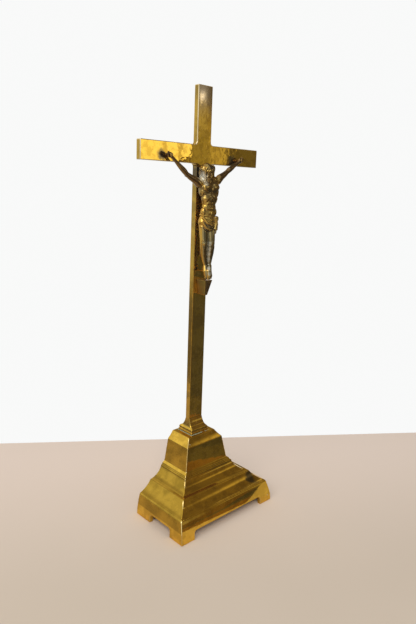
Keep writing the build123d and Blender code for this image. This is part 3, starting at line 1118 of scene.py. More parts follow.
class Clay:
    """A model built up from balls and rolls of clay, then fused into one skin."""

    def __init__(self, name: str) -> None:
        """Start with nothing on the board.

        Args:
            name: name of the model and its mesh.
        """
        self.name = name
        self.lumps: list[bpy.types.Object] = []
        self.rolls: list[bpy.types.Object] = []
        Bench.clear()

    def ball(self, middle: Vector, radii: Point, turn: Euler | None = None) -> None:
        """Add an egg of clay.

        Args:
            middle: where its middle goes.
            radii: half its lengths along its axes.
            turn: how it is turned, if it is.
        """
        turned = turn or (0.0, 0.0, 0.0)
        bpy.ops.mesh.primitive_uv_sphere_add(
            segments=24, ring_count=14, radius=1.0, location=middle, rotation=turned, scale=radii
        )
        self.lumps.append(bpy.context.object)

    def roll(self, line: Sequence[tuple[Vector, float]], knuckle: float = 0.9) -> None:
        """Add a roll of clay along a line.

        Args:
            line: the line's points, each with the roll's radius there.
            knuckle: least radius of an end that is rounded with a ball.
        """
        curve = bpy.data.curves.new("roll", "CURVE")
        sides = 3 if max(radius for _, radius in line) < 1.0 else 12
        curve.dimensions = "3D"
        curve.bevel_depth = 1.0
        curve.bevel_resolution = sides
        curve.use_fill_caps = True
        spline = curve.splines.new("POLY")
        spline.points.add(len(line) - 1)
        for spot, (place, radius) in zip(spline.points, line):
            spot.co = (*place, 1.0)
            spot.radius = radius
        made = bpy.data.objects.new("roll", curve)
        bpy.context.scene.collection.objects.link(made)
        self.rolls.append(made)
        for place, radius in (line[0], line[-1]):
            if radius >= knuckle:
                self.ball(place, (radius, radius, radius))

    def fuse(self, grain: float, passes: int) -> bpy.types.Object:
        """Join all the clay into one skin.

        Args:
            grain: size of the skin's faces.
            passes: how many times it is smoothed.

        Returns:
            The fused model.
        """
        Bench.take(*self.rolls)
        bpy.ops.object.convert(target="MESH")
        Bench.take(*self.lumps, *self.rolls)
        bpy.ops.object.join()
        made = bpy.context.object
        made.name = made.data.name = self.name
        bpy.ops.object.transform_apply(location=True, rotation=True, scale=True)
        Bench.modify(made, "REMESH", mode="VOXEL", voxel_size=grain, use_smooth_shade=True)
        Bench.modify(made, "SMOOTH", factor=0.5, iterations=passes)
        return made


class Carver:
    """Tools that carve and burnish a fused model by moving its points along their normals."""

    def __init__(self, made: bpy.types.Object) -> None:
        """Read the model's points and normals.

        Args:
            made: the fused model.
        """
        self.made = made
        self.points = read_points(made.data, "co")
        self.normals = read_points(made.data, "normal")

    def stroke(self, line: Sequence[Flat], width: float, depth: float, front: Flat = (-99.0, FACE_Y)) -> None:
        """Draw a groove, or a ridge where depth is below 0, on the side that faces forwards.

        Args:
            line: points of the stroke, as x and drop below the palms.
            width: half width of the stroke.
            depth: how deep it cuts at its middle.
            front: least and greatest y of the points that it may move.
        """
        flat = self.points[:, [0, 2]]
        path = np.array([(x, PALM_Z - drop) for x, drop in line])
        low, high = path.min(0) - width, path.max(0) + width
        near = np.all((flat > low) & (flat < high), axis=1) & (self.normals[:, 1] < -0.1)
        near &= (self.points[:, 1] > front[0]) & (self.points[:, 1] < front[1])
        index = np.nonzero(near)[0]
        if not len(index):
            return
        spots = flat[index]
        gap = np.full(len(index), 1e9)
        for start, end in zip(path, path[1:]):
            run = end - start
            share = np.clip((spots - start) @ run / (run @ run), 0.0, 1.0)
            gap = np.minimum(gap, np.linalg.norm(spots - start - share[:, None] * run, axis=1))
        weight = np.clip(1.0 - (gap / width) ** 2, 0.0, 1.0) ** 2
        weight *= np.clip(-self.normals[index, 1] * 1.6, 0.0, 1.0)
        self.points[index] -= self.normals[index] * (depth * weight)[:, None]

    def done(self) -> None:
        """Put the carved points back."""
        self.made.data.vertices.foreach_set("co", self.points.ravel().astype(np.float32))
        self.made.data.update()


def store_recess_and_back_shade(made: bpy.types.Object, passes: int, reach: float) -> None:
    """Store on a mesh how far each point lies below or above its surroundings; its back, toward the bar,
    counts as low, which paints shade there.

    Args:
        made: the mesh object.
        passes: how many times the surroundings are averaged.
        reach: depth in millimetres that counts as 1.
    """
    mesh = made.data
    count = len(mesh.vertices)
    points, normals = read_points(mesh, "co"), read_points(mesh, "normal")
    ends = np.empty(len(mesh.edges) * 2, np.int32)
    mesh.edges.foreach_get("vertices", ends)
    first, second = ends.reshape(-1, 2).T
    degree = np.maximum(np.bincount(first, minlength=count) + np.bincount(second, minlength=count), 1)
    smooth = points.copy()
    for _ in range(passes):
        sums = [
            np.bincount(first, column[second], count) + np.bincount(second, column[first], count)
            for column in smooth.T
        ]
        smooth = 0.3 * smooth + 0.7 * np.stack(sums, axis=1) / degree[:, None]
    depth = np.einsum("ij,ij->i", smooth - points, normals) / reach
    # painted shade: faces that turn toward the bar count as deep
    depth = np.maximum(depth, np.clip(3.0 * normals[:, 1] - 1.6, -1.0, 0.9))
    store(mesh, "recess", "POINT", np.clip(depth, -1.0, 1.0))


def store_flank_highlight(made: bpy.types.Object, top: float, inner: float) -> None:
    """Store on a mesh a painted highlight down its left flank, on faces that turn to the left.

    Args:
        made: the mesh object.
        top: level up to which the painted highlight reaches.
        inner: x beyond which there is no painted highlight.
    """
    points, normals = read_points(made.data, "co"), read_points(made.data, "normal")
    flank = np.clip((normals[:, 1] + 0.62) / 0.2, 0.0, 1.0) * np.clip((-normals[:, 0] - 0.4) / 0.2, 0.0, 1.0)
    flank *= np.clip((inner - points[:, 0]) / 1.5, 0.0, 1.0)
    flank *= np.clip((top - points[:, 2]) / 4.0, 0.0, 1.0)
    store(made.data, "rubbed", "POINT", flank)


def store_pale_highlight(made: bpy.types.Object, spots: Sequence[tuple[Vector, float, float]]) -> None:
    """Store on a mesh how pale it is painted in spots, as painted pale highlights.

    Args:
        made: the mesh object.
        spots: middle, radius and strength of every spot.
    """
    points = read_points(made.data, "co")
    bloom = np.zeros(len(points))
    for middle, radius, strength in spots:
        gap = np.linalg.norm(points - np.array(middle), axis=1) / radius
        bloom = np.maximum(bloom, strength * np.clip(1.0 - gap ** 2, 0.0, 1.0))
    store(made.data, "bloom", "POINT", bloom)


@dataclass
class Figure:
    """Cast figure in front of the bar: measured across, out from the bar's face, and down from the palms."""

    palm_x: float = 32.0
    head_place: Point = (-2.1, 6.2, 9.7)
    head_tilt: float = 12.0
    head_nod: float = 14.0
    head_scale: float = 1.08
    shoulders: tuple[Point, Point] = ((-8.5, 5.0, 16.9), (8.5, 5.2, 14.6))
    elbows: tuple[Point, Point] = ((-18.6, 4.4, 11.4), (18.0, 4.4, 8.4))
    left_leg: tuple[tuple[Point, float], ...] = (
        ((-3.5, 5.2, 42.5), 3.3),
        ((-3.7, 5.7, 47.0), 3.0),
        ((-3.9, 6.3, 52.0), 2.75),
        ((-4.0, 6.9, 56.6), 2.5),
        ((-3.8, 6.5, 60.0), 2.4),
        ((-3.3, 6.1, 63.5), 2.45),
        ((-2.4, 6.2, 67.5), 2.0),
        ((-1.4, 6.4, 71.0), 1.6),
    )
    right_leg: tuple[tuple[Point, float], ...] = (
        ((3.4, 5.2, 42.5), 3.3),
        ((3.0, 5.9, 47.0), 3.1),
        ((2.6, 6.6, 52.0), 3.0),
        ((2.4, 7.2, 56.6), 2.85),
        ((2.4, 7.0, 60.0), 2.75),
        ((2.3, 6.6, 63.5), 2.7),
        ((2.0, 6.5, 67.5), 2.15),
        ((1.7, 6.6, 71.0), 1.7),
    )
    right_foot_lead: float = 1.5
    between_legs: tuple[tuple[Point, float], ...] = (
        ((-0.3, 5.0, 46.0), 2.4),
        ((-0.9, 5.6, 58.0), 2.0),
        ((0.1, 5.6, 72.0), 1.2),
    )
    grain: float = 0.17
    fused_passes: int = 3
    carved_passes: int = 5
    most_faces: int = 170000
    recess_passes: int = 40
    recess_reach: float = 0.55
    flank_highlight_top: float = 228.0
    flank_highlight_inner: float = -0.6
    # painted pale highlights on the hair, the beard, the shins and the feet: middle, radius and strength
    bloom: tuple[tuple[Point, float, float], ...] = (
        ((-6.9, 6.4, 12.4), 4.3, 1.0),
        ((-5.2, 9.4, 15.8), 2.8, 0.9),
        ((-0.4, 8.2, 57.0), 2.2, 0.5),
        ((-0.4, 8.2, 60.5), 2.2, 0.55),
        ((-0.3, 8.0, 64.0), 2.1, 0.6),
        ((0.0, 7.9, 67.5), 2.0, 0.55),
        ((-0.6, 10.0, 73.6), 2.2, 0.6),
        ((-0.5, 10.4, 77.2), 2.0, 0.5),
    )

    @staticmethod
    def at(x: float, out: float, drop: float) -> Vector:
        """A place on the figure."""
        return Vector((x, FACE_Y - out, PALM_Z - drop))

    def torso(self, clay: Clay) -> None:
        """Model the chest, the neck, the waist and the hips.

        Args:
            clay: the model so far.
        """
        eggs = [
            ((0.2, 5.4, 21.0), (7.5, 4.2, 6.8)),
            ((0.0, 5.2, 16.6), (8.1, 3.2, 3.2)),
            ((0.7, 6.1, 26.4), (6.7, 4.2, 5.4)),
            ((0.6, 5.9, 28.9), (5.9, 3.9, 4.2)),
            ((0.7, 5.9, 32.0), (5.7, 3.5, 6.0)),
            ((0.3, 5.6, 36.2), (5.6, 3.6, 4.4)),
            ((0.0, 5.2, 41.0), (6.8, 4.0, 5.4)),
            ((-3.4, 8.4, 19.2), (3.6, 1.5, 2.9)),
            ((3.9, 8.4, 19.2), (3.6, 1.5, 2.9)),
            ((-5.9, 5.2, 20.5), (1.5, 2.8, 4.8)),
            ((7.1, 5.0, 21.5), (1.6, 3.0, 5.6)),
            ((0.7, 8.3, 30.0), (3.2, 0.9, 5.0)),
            ((-5.0, 6.2, 35.5), (1.5, 2.0, 3.0)),
            ((5.2, 6.4, 35.5), (1.5, 2.0, 3.0)),
        ]
        for place, radii in eggs:
            clay.ball(self.at(*place), radii)
        for side in Side:
            sign = side.value
            level = 15.6 - sign
            clay.roll([(self.at(sign * 0.9, 7.6, 16.2), 0.7), (self.at(sign * 7.8, 6.4, level - 0.6), 0.75)])
            clay.roll([(self.at(sign * 2.2 - 1.6, 6.0, 10.6), 0.8), (self.at(sign * 0.9, 7.5, 15.8), 0.7)])
            clay.roll([(self.at(sign * 2.0 - 0.6, 5.0, 12.6), 2.0), (self.at(sign * 7.6, 5.0, level), 2.3)])
        clay.roll([(self.at(0.0, 5.4, 16.0), 2.9), (self.at(-1.8, 5.9, 10.0), 2.5)])

    def arm(self, clay: Clay, side: Side, shoulder_place: Point, elbow: Point) -> None:
        """Model one arm, from the shoulder to the nailed hand.

        Args:
            clay: the model so far.
            side: which arm it is.
            shoulder_place: place of the shoulder.
            elbow: place of the elbow.
        """
        sign = side.value
        joint, shoulder = self.at(*elbow), self.at(*shoulder_place)
        wrist = self.at(sign * (self.palm_x - 2.3), 3.2, 1.6)
        palm = self.at(sign * self.palm_x, 3.0, 0.1)
        upper, lower = joint - shoulder, wrist - joint
        lift = Vector((0.0, 0.0, 0.5))
        clay.roll(
            [
                (shoulder, 2.8),
                (shoulder + upper * 0.22 + lift, 2.65),
                (shoulder + upper * 0.45 + lift * 0.6, 2.25),
                (shoulder + upper * 0.72, 1.95),
                (joint, 1.62),
                (joint + lower * 0.22 + lift * 0.4, 1.85),
                (joint + lower * 0.45, 1.60),
                (joint + lower * 0.78, 1.12),
                (wrist, 1.02),
            ]
        )
        clay.ball(joint - lift * 1.4 + Vector((0.0, 0.9, 0.0)), (1.0, 0.9, 1.0))
        clay.roll([(wrist, 1.0), (palm, 1.25)])
        reach = (palm - wrist).normalized()
        across = Vector((-reach.z * sign, 0.0, reach.x * sign))
        clay.ball(palm + reach * 0.3, (1.9, 1.1, 1.8))
        for index in range(4):
            spread = (index - 1.5) * 0.62
            root = palm + reach * 1.1 + across * spread
            bend = root + reach * (1.25 - 0.12 * abs(index - 1.2)) + Vector((0.0, -0.35, 0.0))
            tip = bend + reach * (0.55 - 0.1 * abs(index - 1.2)) + Vector((0.0, -0.95, 0.0))
            clay.roll([(root, 0.52), (bend, 0.48), (tip, 0.38)])
        thumb = palm + across * 1.0 - reach * 0.3
        clay.roll([(thumb, 0.5), (thumb + across * 0.8 + reach * 0.7 + Vector((0.0, -0.7, 0.0)), 0.34)])
        clay.roll([(Vector((palm.x, FACE_Y - 0.6, palm.z)), 1.15), (palm, 1.15)])

    def leg(self, clay: Clay, side: Side, spots: Sequence[tuple[Point, float]], lead: float) -> None:
        """Model one leg, from the hip to the toes.

        Args:
            clay: the model so far.
            side: which leg it is.
            spots: places from the hip to above the ankle, with the leg's radius; the fourth is the knee.
            lead: how far this foot is in front.
        """
        sign = side.value
        clay.roll([(self.at(*place), radius) for place, radius in spots])
        knee, calf, shin = spots[3][0], spots[5][0], spots[-1][0]
        clay.ball(self.at(knee[0], knee[1] + 1.7, 56.8), (1.7, 0.95, 1.8))
        clay.ball(self.at(calf[0], calf[1] - 1.3, 63.0), (1.9, 1.7, 4.0))
        ankle = self.at(shin[0] * 0.95, shin[1] + 0.4 * lead, 72.3)
        clay.roll([(self.at(knee[0], knee[1] + 1.2, 59.5), 0.6), (ankle + Vector((0.0, -0.9, 0.0)), 0.5)])
        instep = self.at(shin[0] * 0.9 - lead - 0.3, 7.1 + lead, 75.6)
        ball = self.at(0.6 * sign - 0.6, 7.7 + lead, 78.8)
        clay.roll([(ankle, 1.75), (instep, 2.15 + 0.1 * lead), (ball, 2.1 + 0.1 * lead)])
        clay.ball(self.at(shin[0], 5.0 + 0.4 * lead, 74.4), (1.25, 1.4, 1.6))
        for index in range(5):
            spread = sign * (1.4 - 0.7 * index)
            root = ball + Vector((-spread, -0.2, -0.7))
            tip = root + Vector((-0.12 * spread, -0.7, -2.0 + 0.18 * index))
            clay.roll([(root, 0.62), (tip, 0.54 - 0.04 * index)])

    def cloth(self, clay: Clay) -> None:
        """Model the loincloth, its rolled waist, its knot and the ends that hang from it.

        Args:
            clay: the model so far.
        """
        clay.ball(self.at(0.0, 5.4, 42.2), (7.4, 4.8, 5.6))
        clay.ball(self.at(0.0, 5.6, 45.0), (6.9, 4.7, 4.2))
        steps = 24
        waist = []
        for index in range(steps + 1):
            turn = 2.0 * math.pi * index / steps
            x, out = 5.8 * math.cos(turn), 5.3 + 3.4 * math.sin(turn)
            waist.append((self.at(x, out, 38.0 + 0.1 * x + 0.5 * math.sin(turn)), 0.8))
        clay.roll(waist)
        knot = self.at(7.4, 6.5, 39.6)
        clay.ball(knot, (1.7, 1.7, 1.5))
        clay.ball(knot + Vector((0.4, -0.6, -1.2)), (1.1, 1.2, 1.0))
        tails = [
            [(7.4, 6.3, 40.8), (8.0, 6.2, 44.5), (7.7, 6.0, 47.6), (7.2, 5.9, 49.4)],
            [(7.1, 7.5, 40.6), (7.2, 7.8, 44.0), (6.6, 7.7, 47.0)],
            [(7.7, 5.1, 40.6), (8.3, 4.8, 43.6), (8.1, 4.5, 46.4)],
        ]
        for tail in tails:
            widths = np.linspace(0.8, 1.15, len(tail))
            clay.roll([(self.at(*place), float(radius)) for place, radius in zip(tail, widths)])
        drape = [
            [(-6.3, 7.5, 38.6), (-3.9, 9.7, 42.6), (-0.6, 10.4, 44.0), (1.6, 10.3, 43.4)],
            [(-6.3, 7.6, 41.8), (-4.2, 9.3, 45.8), (-1.2, 10.0, 47.4)],
            [(3.6, 9.4, 38.6), (4.3, 9.8, 42.4), (3.4, 9.6, 46.8)],
            [(6.0, 8.2, 39.0), (6.3, 8.5, 43.0), (5.5, 8.4, 47.4)],
        ]
        for fold in drape:
            clay.roll([(self.at(*place), 0.85) for place in fold])

    def head(self, clay: Clay) -> None:
        """Model the head with its beard, hair and crown, on the usual proportions of a head.

        Args:
            clay: the model so far.
        """
        turn = Euler((math.radians(self.head_nod), math.radians(-self.head_tilt), 0.0))
        pose = Matrix.Translation(self.at(*self.head_place)) @ turn.to_matrix().to_4x4()
        pose = pose @ Matrix.Scale(self.head_scale, 4)

        def on(x: float, out: float, up: float) -> Vector:
            """A place on the head: across, forwards and up from its middle."""
            return pose @ Vector((x, -out, up))

        def egg(place: Point, radii: Point) -> None:
            """An egg of clay turned with the head."""
            clay.ball(on(*place), tuple(self.head_scale * radius for radius in radii), turn)

        egg((0.0, -0.3, 1.4), (3.35, 4.0, 3.8))
        egg((0.0, 0.9, -1.4), (2.75, 2.9, 3.6))
        egg((0.0, 2.2, 1.9), (2.7, 1.7, 1.9))
        egg((0.0, 2.2, -3.9), (1.5, 1.3, 1.3))
        clay.roll([(on(0.0, 3.75, 0.7), 0.42), (on(0.0, 4.45, -1.3), 0.60)])
        egg((0.0, 4.25, -1.6), (0.85, 0.6, 0.45))
        egg((0.0, 3.45, -2.95), (1.05, 0.5, 0.25))
        egg((0.0, 3.35, -3.45), (0.9, 0.5, 0.3))
        for side in Side:
            sign = side.value
            clay.roll([(on(sign * 0.6, 3.75, 0.95), 0.36), (on(sign * 2.3, 3.0, 0.85), 0.33)])
            egg((sign * 1.35, 3.05, 0.05), (0.8, 0.55, 0.5))
            egg((sign * 1.9, 2.5, -1.2), (1.0, 0.9, 0.8))
            clay.roll([(on(sign * 0.2, 3.75, -2.4), 0.34), (on(sign * 1.5, 2.95, -3.2), 0.36)])
        self.beard(clay, on)
        self.hair(clay, on, egg)
        self.crown(clay, on)

    @staticmethod
    def beard(clay: Clay, on: Callable[[float, float, float], Vector]) -> None:
        """Model a short beard in locks that meet in two points.

        Args:
            clay: the model so far.
            on: gives a place on the head.
        """
        for index in range(9):
            share = index / 4.0 - 1.0
            aside = abs(share)
            bend = 0.25 * math.sin(2.6 * index)
            start = on(2.35 * share, 2.9 - 1.5 * aside, -3.2 + 1.3 * aside)
            middle = on(1.75 * share + bend, 3.6 - 1.2 * aside, -5.0 + 0.9 * aside)
            end = on(0.9 * share + 0.35 * math.copysign(1.0, share), 3.7 - 0.9 * aside, -6.3 + 0.9 * aside)
            clay.roll([(start, 0.75), (middle, 0.62), (end, 0.34)])

    @staticmethod
    def hair(
        clay: Clay, on: Callable[[float, float, float], Vector], egg: Callable[[Point, Point], None]
    ) -> None:
        """Model hair parted in the middle, with waving locks down to the shoulders.

        Args:
            clay: the model so far.
            on: gives a place on the head.
            egg: adds an egg of clay that is turned with the head.
        """
        egg((0.0, -1.0, 2.1), (3.75, 4.0, 3.7))
        egg((0.0, -2.2, -1.5), (3.5, 2.6, 4.0))
        for side in Side:
            sign = side.value
            for index in range(7):
                out = 2.55 - 0.85 * index
                fall = -5.2 - 0.55 * min(index, 4)
                line = []
                steps = 9
                for step in range(steps + 1):
                    share = step / steps
                    up = 4.7 - 0.12 * index + (fall - 4.7) * share
                    round_head = math.sqrt(max(0.0, 1.0 - ((up - 1.2) / 4.6) ** 2)) if up > 1.2 else 1.0
                    wide = 3.55 * round_head + 0.25 * share + 0.30 * math.sin(7.5 * share + 1.9 * index)
                    ahead = out * (0.45 + 0.55 * round_head) - 0.35 * share
                    ahead += 0.28 * math.cos(7.5 * share + 1.3 * index)
                    line.append((on(sign * max(wide, 0.25), ahead, up), 0.62 - 0.22 * share))
                clay.roll(line)

    @staticmethod
    def crown(clay: Clay, on: Callable[[float, float, float], Vector]) -> None:
        """Model the crown of two twisted stems with short thorns.

        Args:
            clay: the model so far.
            on: gives a place on the head.
        """
        steps, turns, thorns = 72, 9, 12
        for strand in range(2):
            line = []
            for index in range(steps + 1):
                turn = 2.0 * math.pi * index / steps
                twist = turns * turn + math.pi * strand
                spread = 0.42 * math.cos(twist)
                wide, deep = 3.95 + spread, 4.35 + spread
                up = 2.45 + 0.5 * math.sin(twist)
                line.append((on(wide * math.sin(turn), deep * math.cos(turn) - 0.5, up), 0.52))
            clay.roll(line)
        for index in range(thorns):
            turn = 2.0 * math.pi * (index + 0.35) / thorns
            lean = 0.55 * math.sin(5.0 * index)
            root = on(3.85 * math.sin(turn), 4.25 * math.cos(turn) - 0.5, 2.45)
            tip = on(4.65 * math.sin(turn + 0.1), 5.05 * math.cos(turn + 0.1) - 0.5, 2.45 + lean)
            clay.roll([(root, 0.34), (tip, 0.14)])

    @staticmethod
    def carve(made: bpy.types.Object) -> None:
        """Carve muscles, ribs, knees and folds into the fused figure.

        Args:
            made: the fused figure, in millimetres.
        """
        tool = Carver(made)
        body = (-99.0, FACE_Y - 5.0)
        tool.stroke([(0.0, 17.0), (0.0, 23.0)], 1.1, 0.16, body)
        tool.stroke([(0.3, 25.0), (0.3, 35.0)], 0.9, 0.12, body)
        for side in Side:
            sign = side.value
            tool.stroke([(sign * 0.5, 22.0), (sign * 3.8, 22.9), (sign * 7.2, 20.4)], 1.1, 0.34, body)
            tool.stroke([(sign * 0.4, 24.4), (sign * 2.6, 27.6), (sign * 5.8, 31.6)], 1.1, 0.22, body)
            for index in range(3):
                drop = 25.0 + 2.3 * index
                tool.stroke([(sign * (3.6 + 0.8 * index), drop), (sign * 8.6, drop + 1.5)], 0.9, 0.10, body)
            for drop in (28.8, 32.4):
                tool.stroke([(sign * 0.2, drop), (sign * 2.9, drop - 0.3)], 0.8, 0.10, body)
            knee = sign * 3.3 - 0.8
            for way in (-1.0, 1.0):
                edge = [(knee + way * 1.8, 55.2), (knee + way * 1.9, 57.4), (knee + way * 1.0, 59.2)]
                tool.stroke(edge, 0.8, 0.15, body)
        tool.stroke([(0.0, 35.6), (0.0, 36.2)], 0.7, 0.6, body)
        folds = [
            [(-7.0, 40.0), (-3.4, 44.0), (0.2, 45.2)],
            [(-4.6, 38.8), (-1.0, 41.6), (2.0, 42.0)],
            [(-7.2, 43.4), (-4.2, 47.2), (-1.4, 48.6)],
            [(2.6, 39.4), (3.4, 43.6), (2.2, 47.4)],
            [(5.4, 40.0), (5.8, 44.6), (4.6, 48.2)],
            [(7.4, 41.0), (7.9, 49.0)],
            [(8.5, 41.0), (8.7, 48.0)],
        ]
        for fold in folds:
            tool.stroke(fold, 0.9, 0.30, body)
        tool.done()

    def build(self) -> bpy.types.Object:
        """Model the figure.

        Returns:
            The figure, in millimetres.
        """
        clay = Clay("corpus_figure")
        self.torso(clay)
        for side, shoulder, elbow in zip(Side, self.shoulders, self.elbows):
            self.arm(clay, side, shoulder, elbow)
        self.leg(clay, Side.LEFT, self.left_leg, 0.0)
        self.leg(clay, Side.RIGHT, self.right_leg, self.right_foot_lead)
        clay.roll([(self.at(*place), radius) for place, radius in self.between_legs])
        self.cloth(clay)
        self.head(clay)
        made = clay.fuse(self.grain, self.fused_passes)
        self.carve(made)
        Bench.modify(made, "SMOOTH", factor=0.5, iterations=self.carved_passes)
        faces = 2 * len(made.data.polygons)
        if faces > self.most_faces:
            Bench.modify(made, "DECIMATE", ratio=self.most_faces / faces, use_collapse_triangulate=True)
        store_recess_and_back_shade(made, self.recess_passes, self.recess_reach)
        store_flank_highlight(made, self.flank_highlight_top, self.flank_highlight_inner)
        store_pale_highlight(made, [(self.at(*place), radius, strength) for place, radius, strength in self.bloom])
        return made

    def dress(self, made: bpy.types.Object) -> bpy.types.Object:
        """Give the figure its finish and its place on the frame.

        Args:
            made: the figure, in millimetres.

        Returns:
            The finished figure.
        """
        Bench.finish(made, CastBrass("figure_cast_brass").material(), smooth=180.0)
        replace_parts(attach(made, "cross"), "corpus")
        return made


@dataclass
class Fixings:
    """Nails, stud, washer and nut: the frame's own solids with better finishes."""

    nails: tuple[str, ...] = ("hand_nail_left", "hand_nail_right", "foot_nail")
    steel: tuple[str, ...] = ("fixing_stud", "fixing_washer", "fixing_nut")

    def dress(self) -> None:
        """Give the solids their finishes."""
        nail = BarBrass(
            "nail_brass", clean=(0.26, 0.17, 0.060), brown=(0.12, 0.08, 0.030), cloud=3.0, gloss=0.16
        ).material()
        steel = PlatedSteel("fixing_plate").material()
        for names, made in ((self.nails, nail), (self.steel, steel)):
            for name in names:
                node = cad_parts[name]
                node.data.materials.clear()
                node.data.materials.append(made)


@dataclass(frozen=True)
class Zone:
    """Part of the room that the metal reflects, between two turns and two climbs, in degrees."""

    tone: Colour
    turns: Flat
    climbs: Flat
    soft_turns: Flat = (6.0, 6.0)
    soft_climbs: Flat = (6.0, 6.0)

    def laid(self, graph: Graph, turn: Value, climb: Value, room: Value) -> Value:
        """Lay the zone over the room so far.

        Args:
            graph: graph of the world.
            turn: turn of the ray from the front to the right.
            climb: climb of the ray above the level.
            room: colour of the room so far.

        Returns:
            The colour with the zone in it.
        """
        inside: Any = 1.0
        spans = ((turn, self.turns, self.soft_turns), (climb, self.climbs, self.soft_climbs))
        for value, limits, soft in spans:
            inside = graph.step(value, limits[0] - soft[0], limits[0] + soft[0]) * inside
            inside = inside * graph.step(value, limits[1] + soft[1], limits[1] - soft[1])
        return graph.mix(inside, room, self.tone)


@dataclass(frozen=True)
class Lamp:
    """Square soft lamp, which the brass may or may not mirror."""

    name: str
    place: Point
    size: float
    power: float
    tint: Colour
    mirrored: bool = False

    def hang(self, target: Point) -> None:
        """Hang the lamp so that it faces a target.

        Args:
            target: the place that it faces.
        """
        data = bpy.data.lights.new(self.name, "AREA")
        data.shape = "SQUARE"
        data.size = self.size * MM
        data.energy = self.power
        data.color = self.tint
        made = bpy.data.objects.new(self.name, data)
        bpy.context.scene.collection.objects.link(made)
        spot = Vector(self.place) * MM
        turn = (spot - Vector(target) * MM).to_track_quat("Z", "Y")
        made.matrix_world = Matrix.Translation(spot) @ turn.to_matrix().to_4x4()
        made.visible_camera = False
        made.visible_glossy = self.mirrored


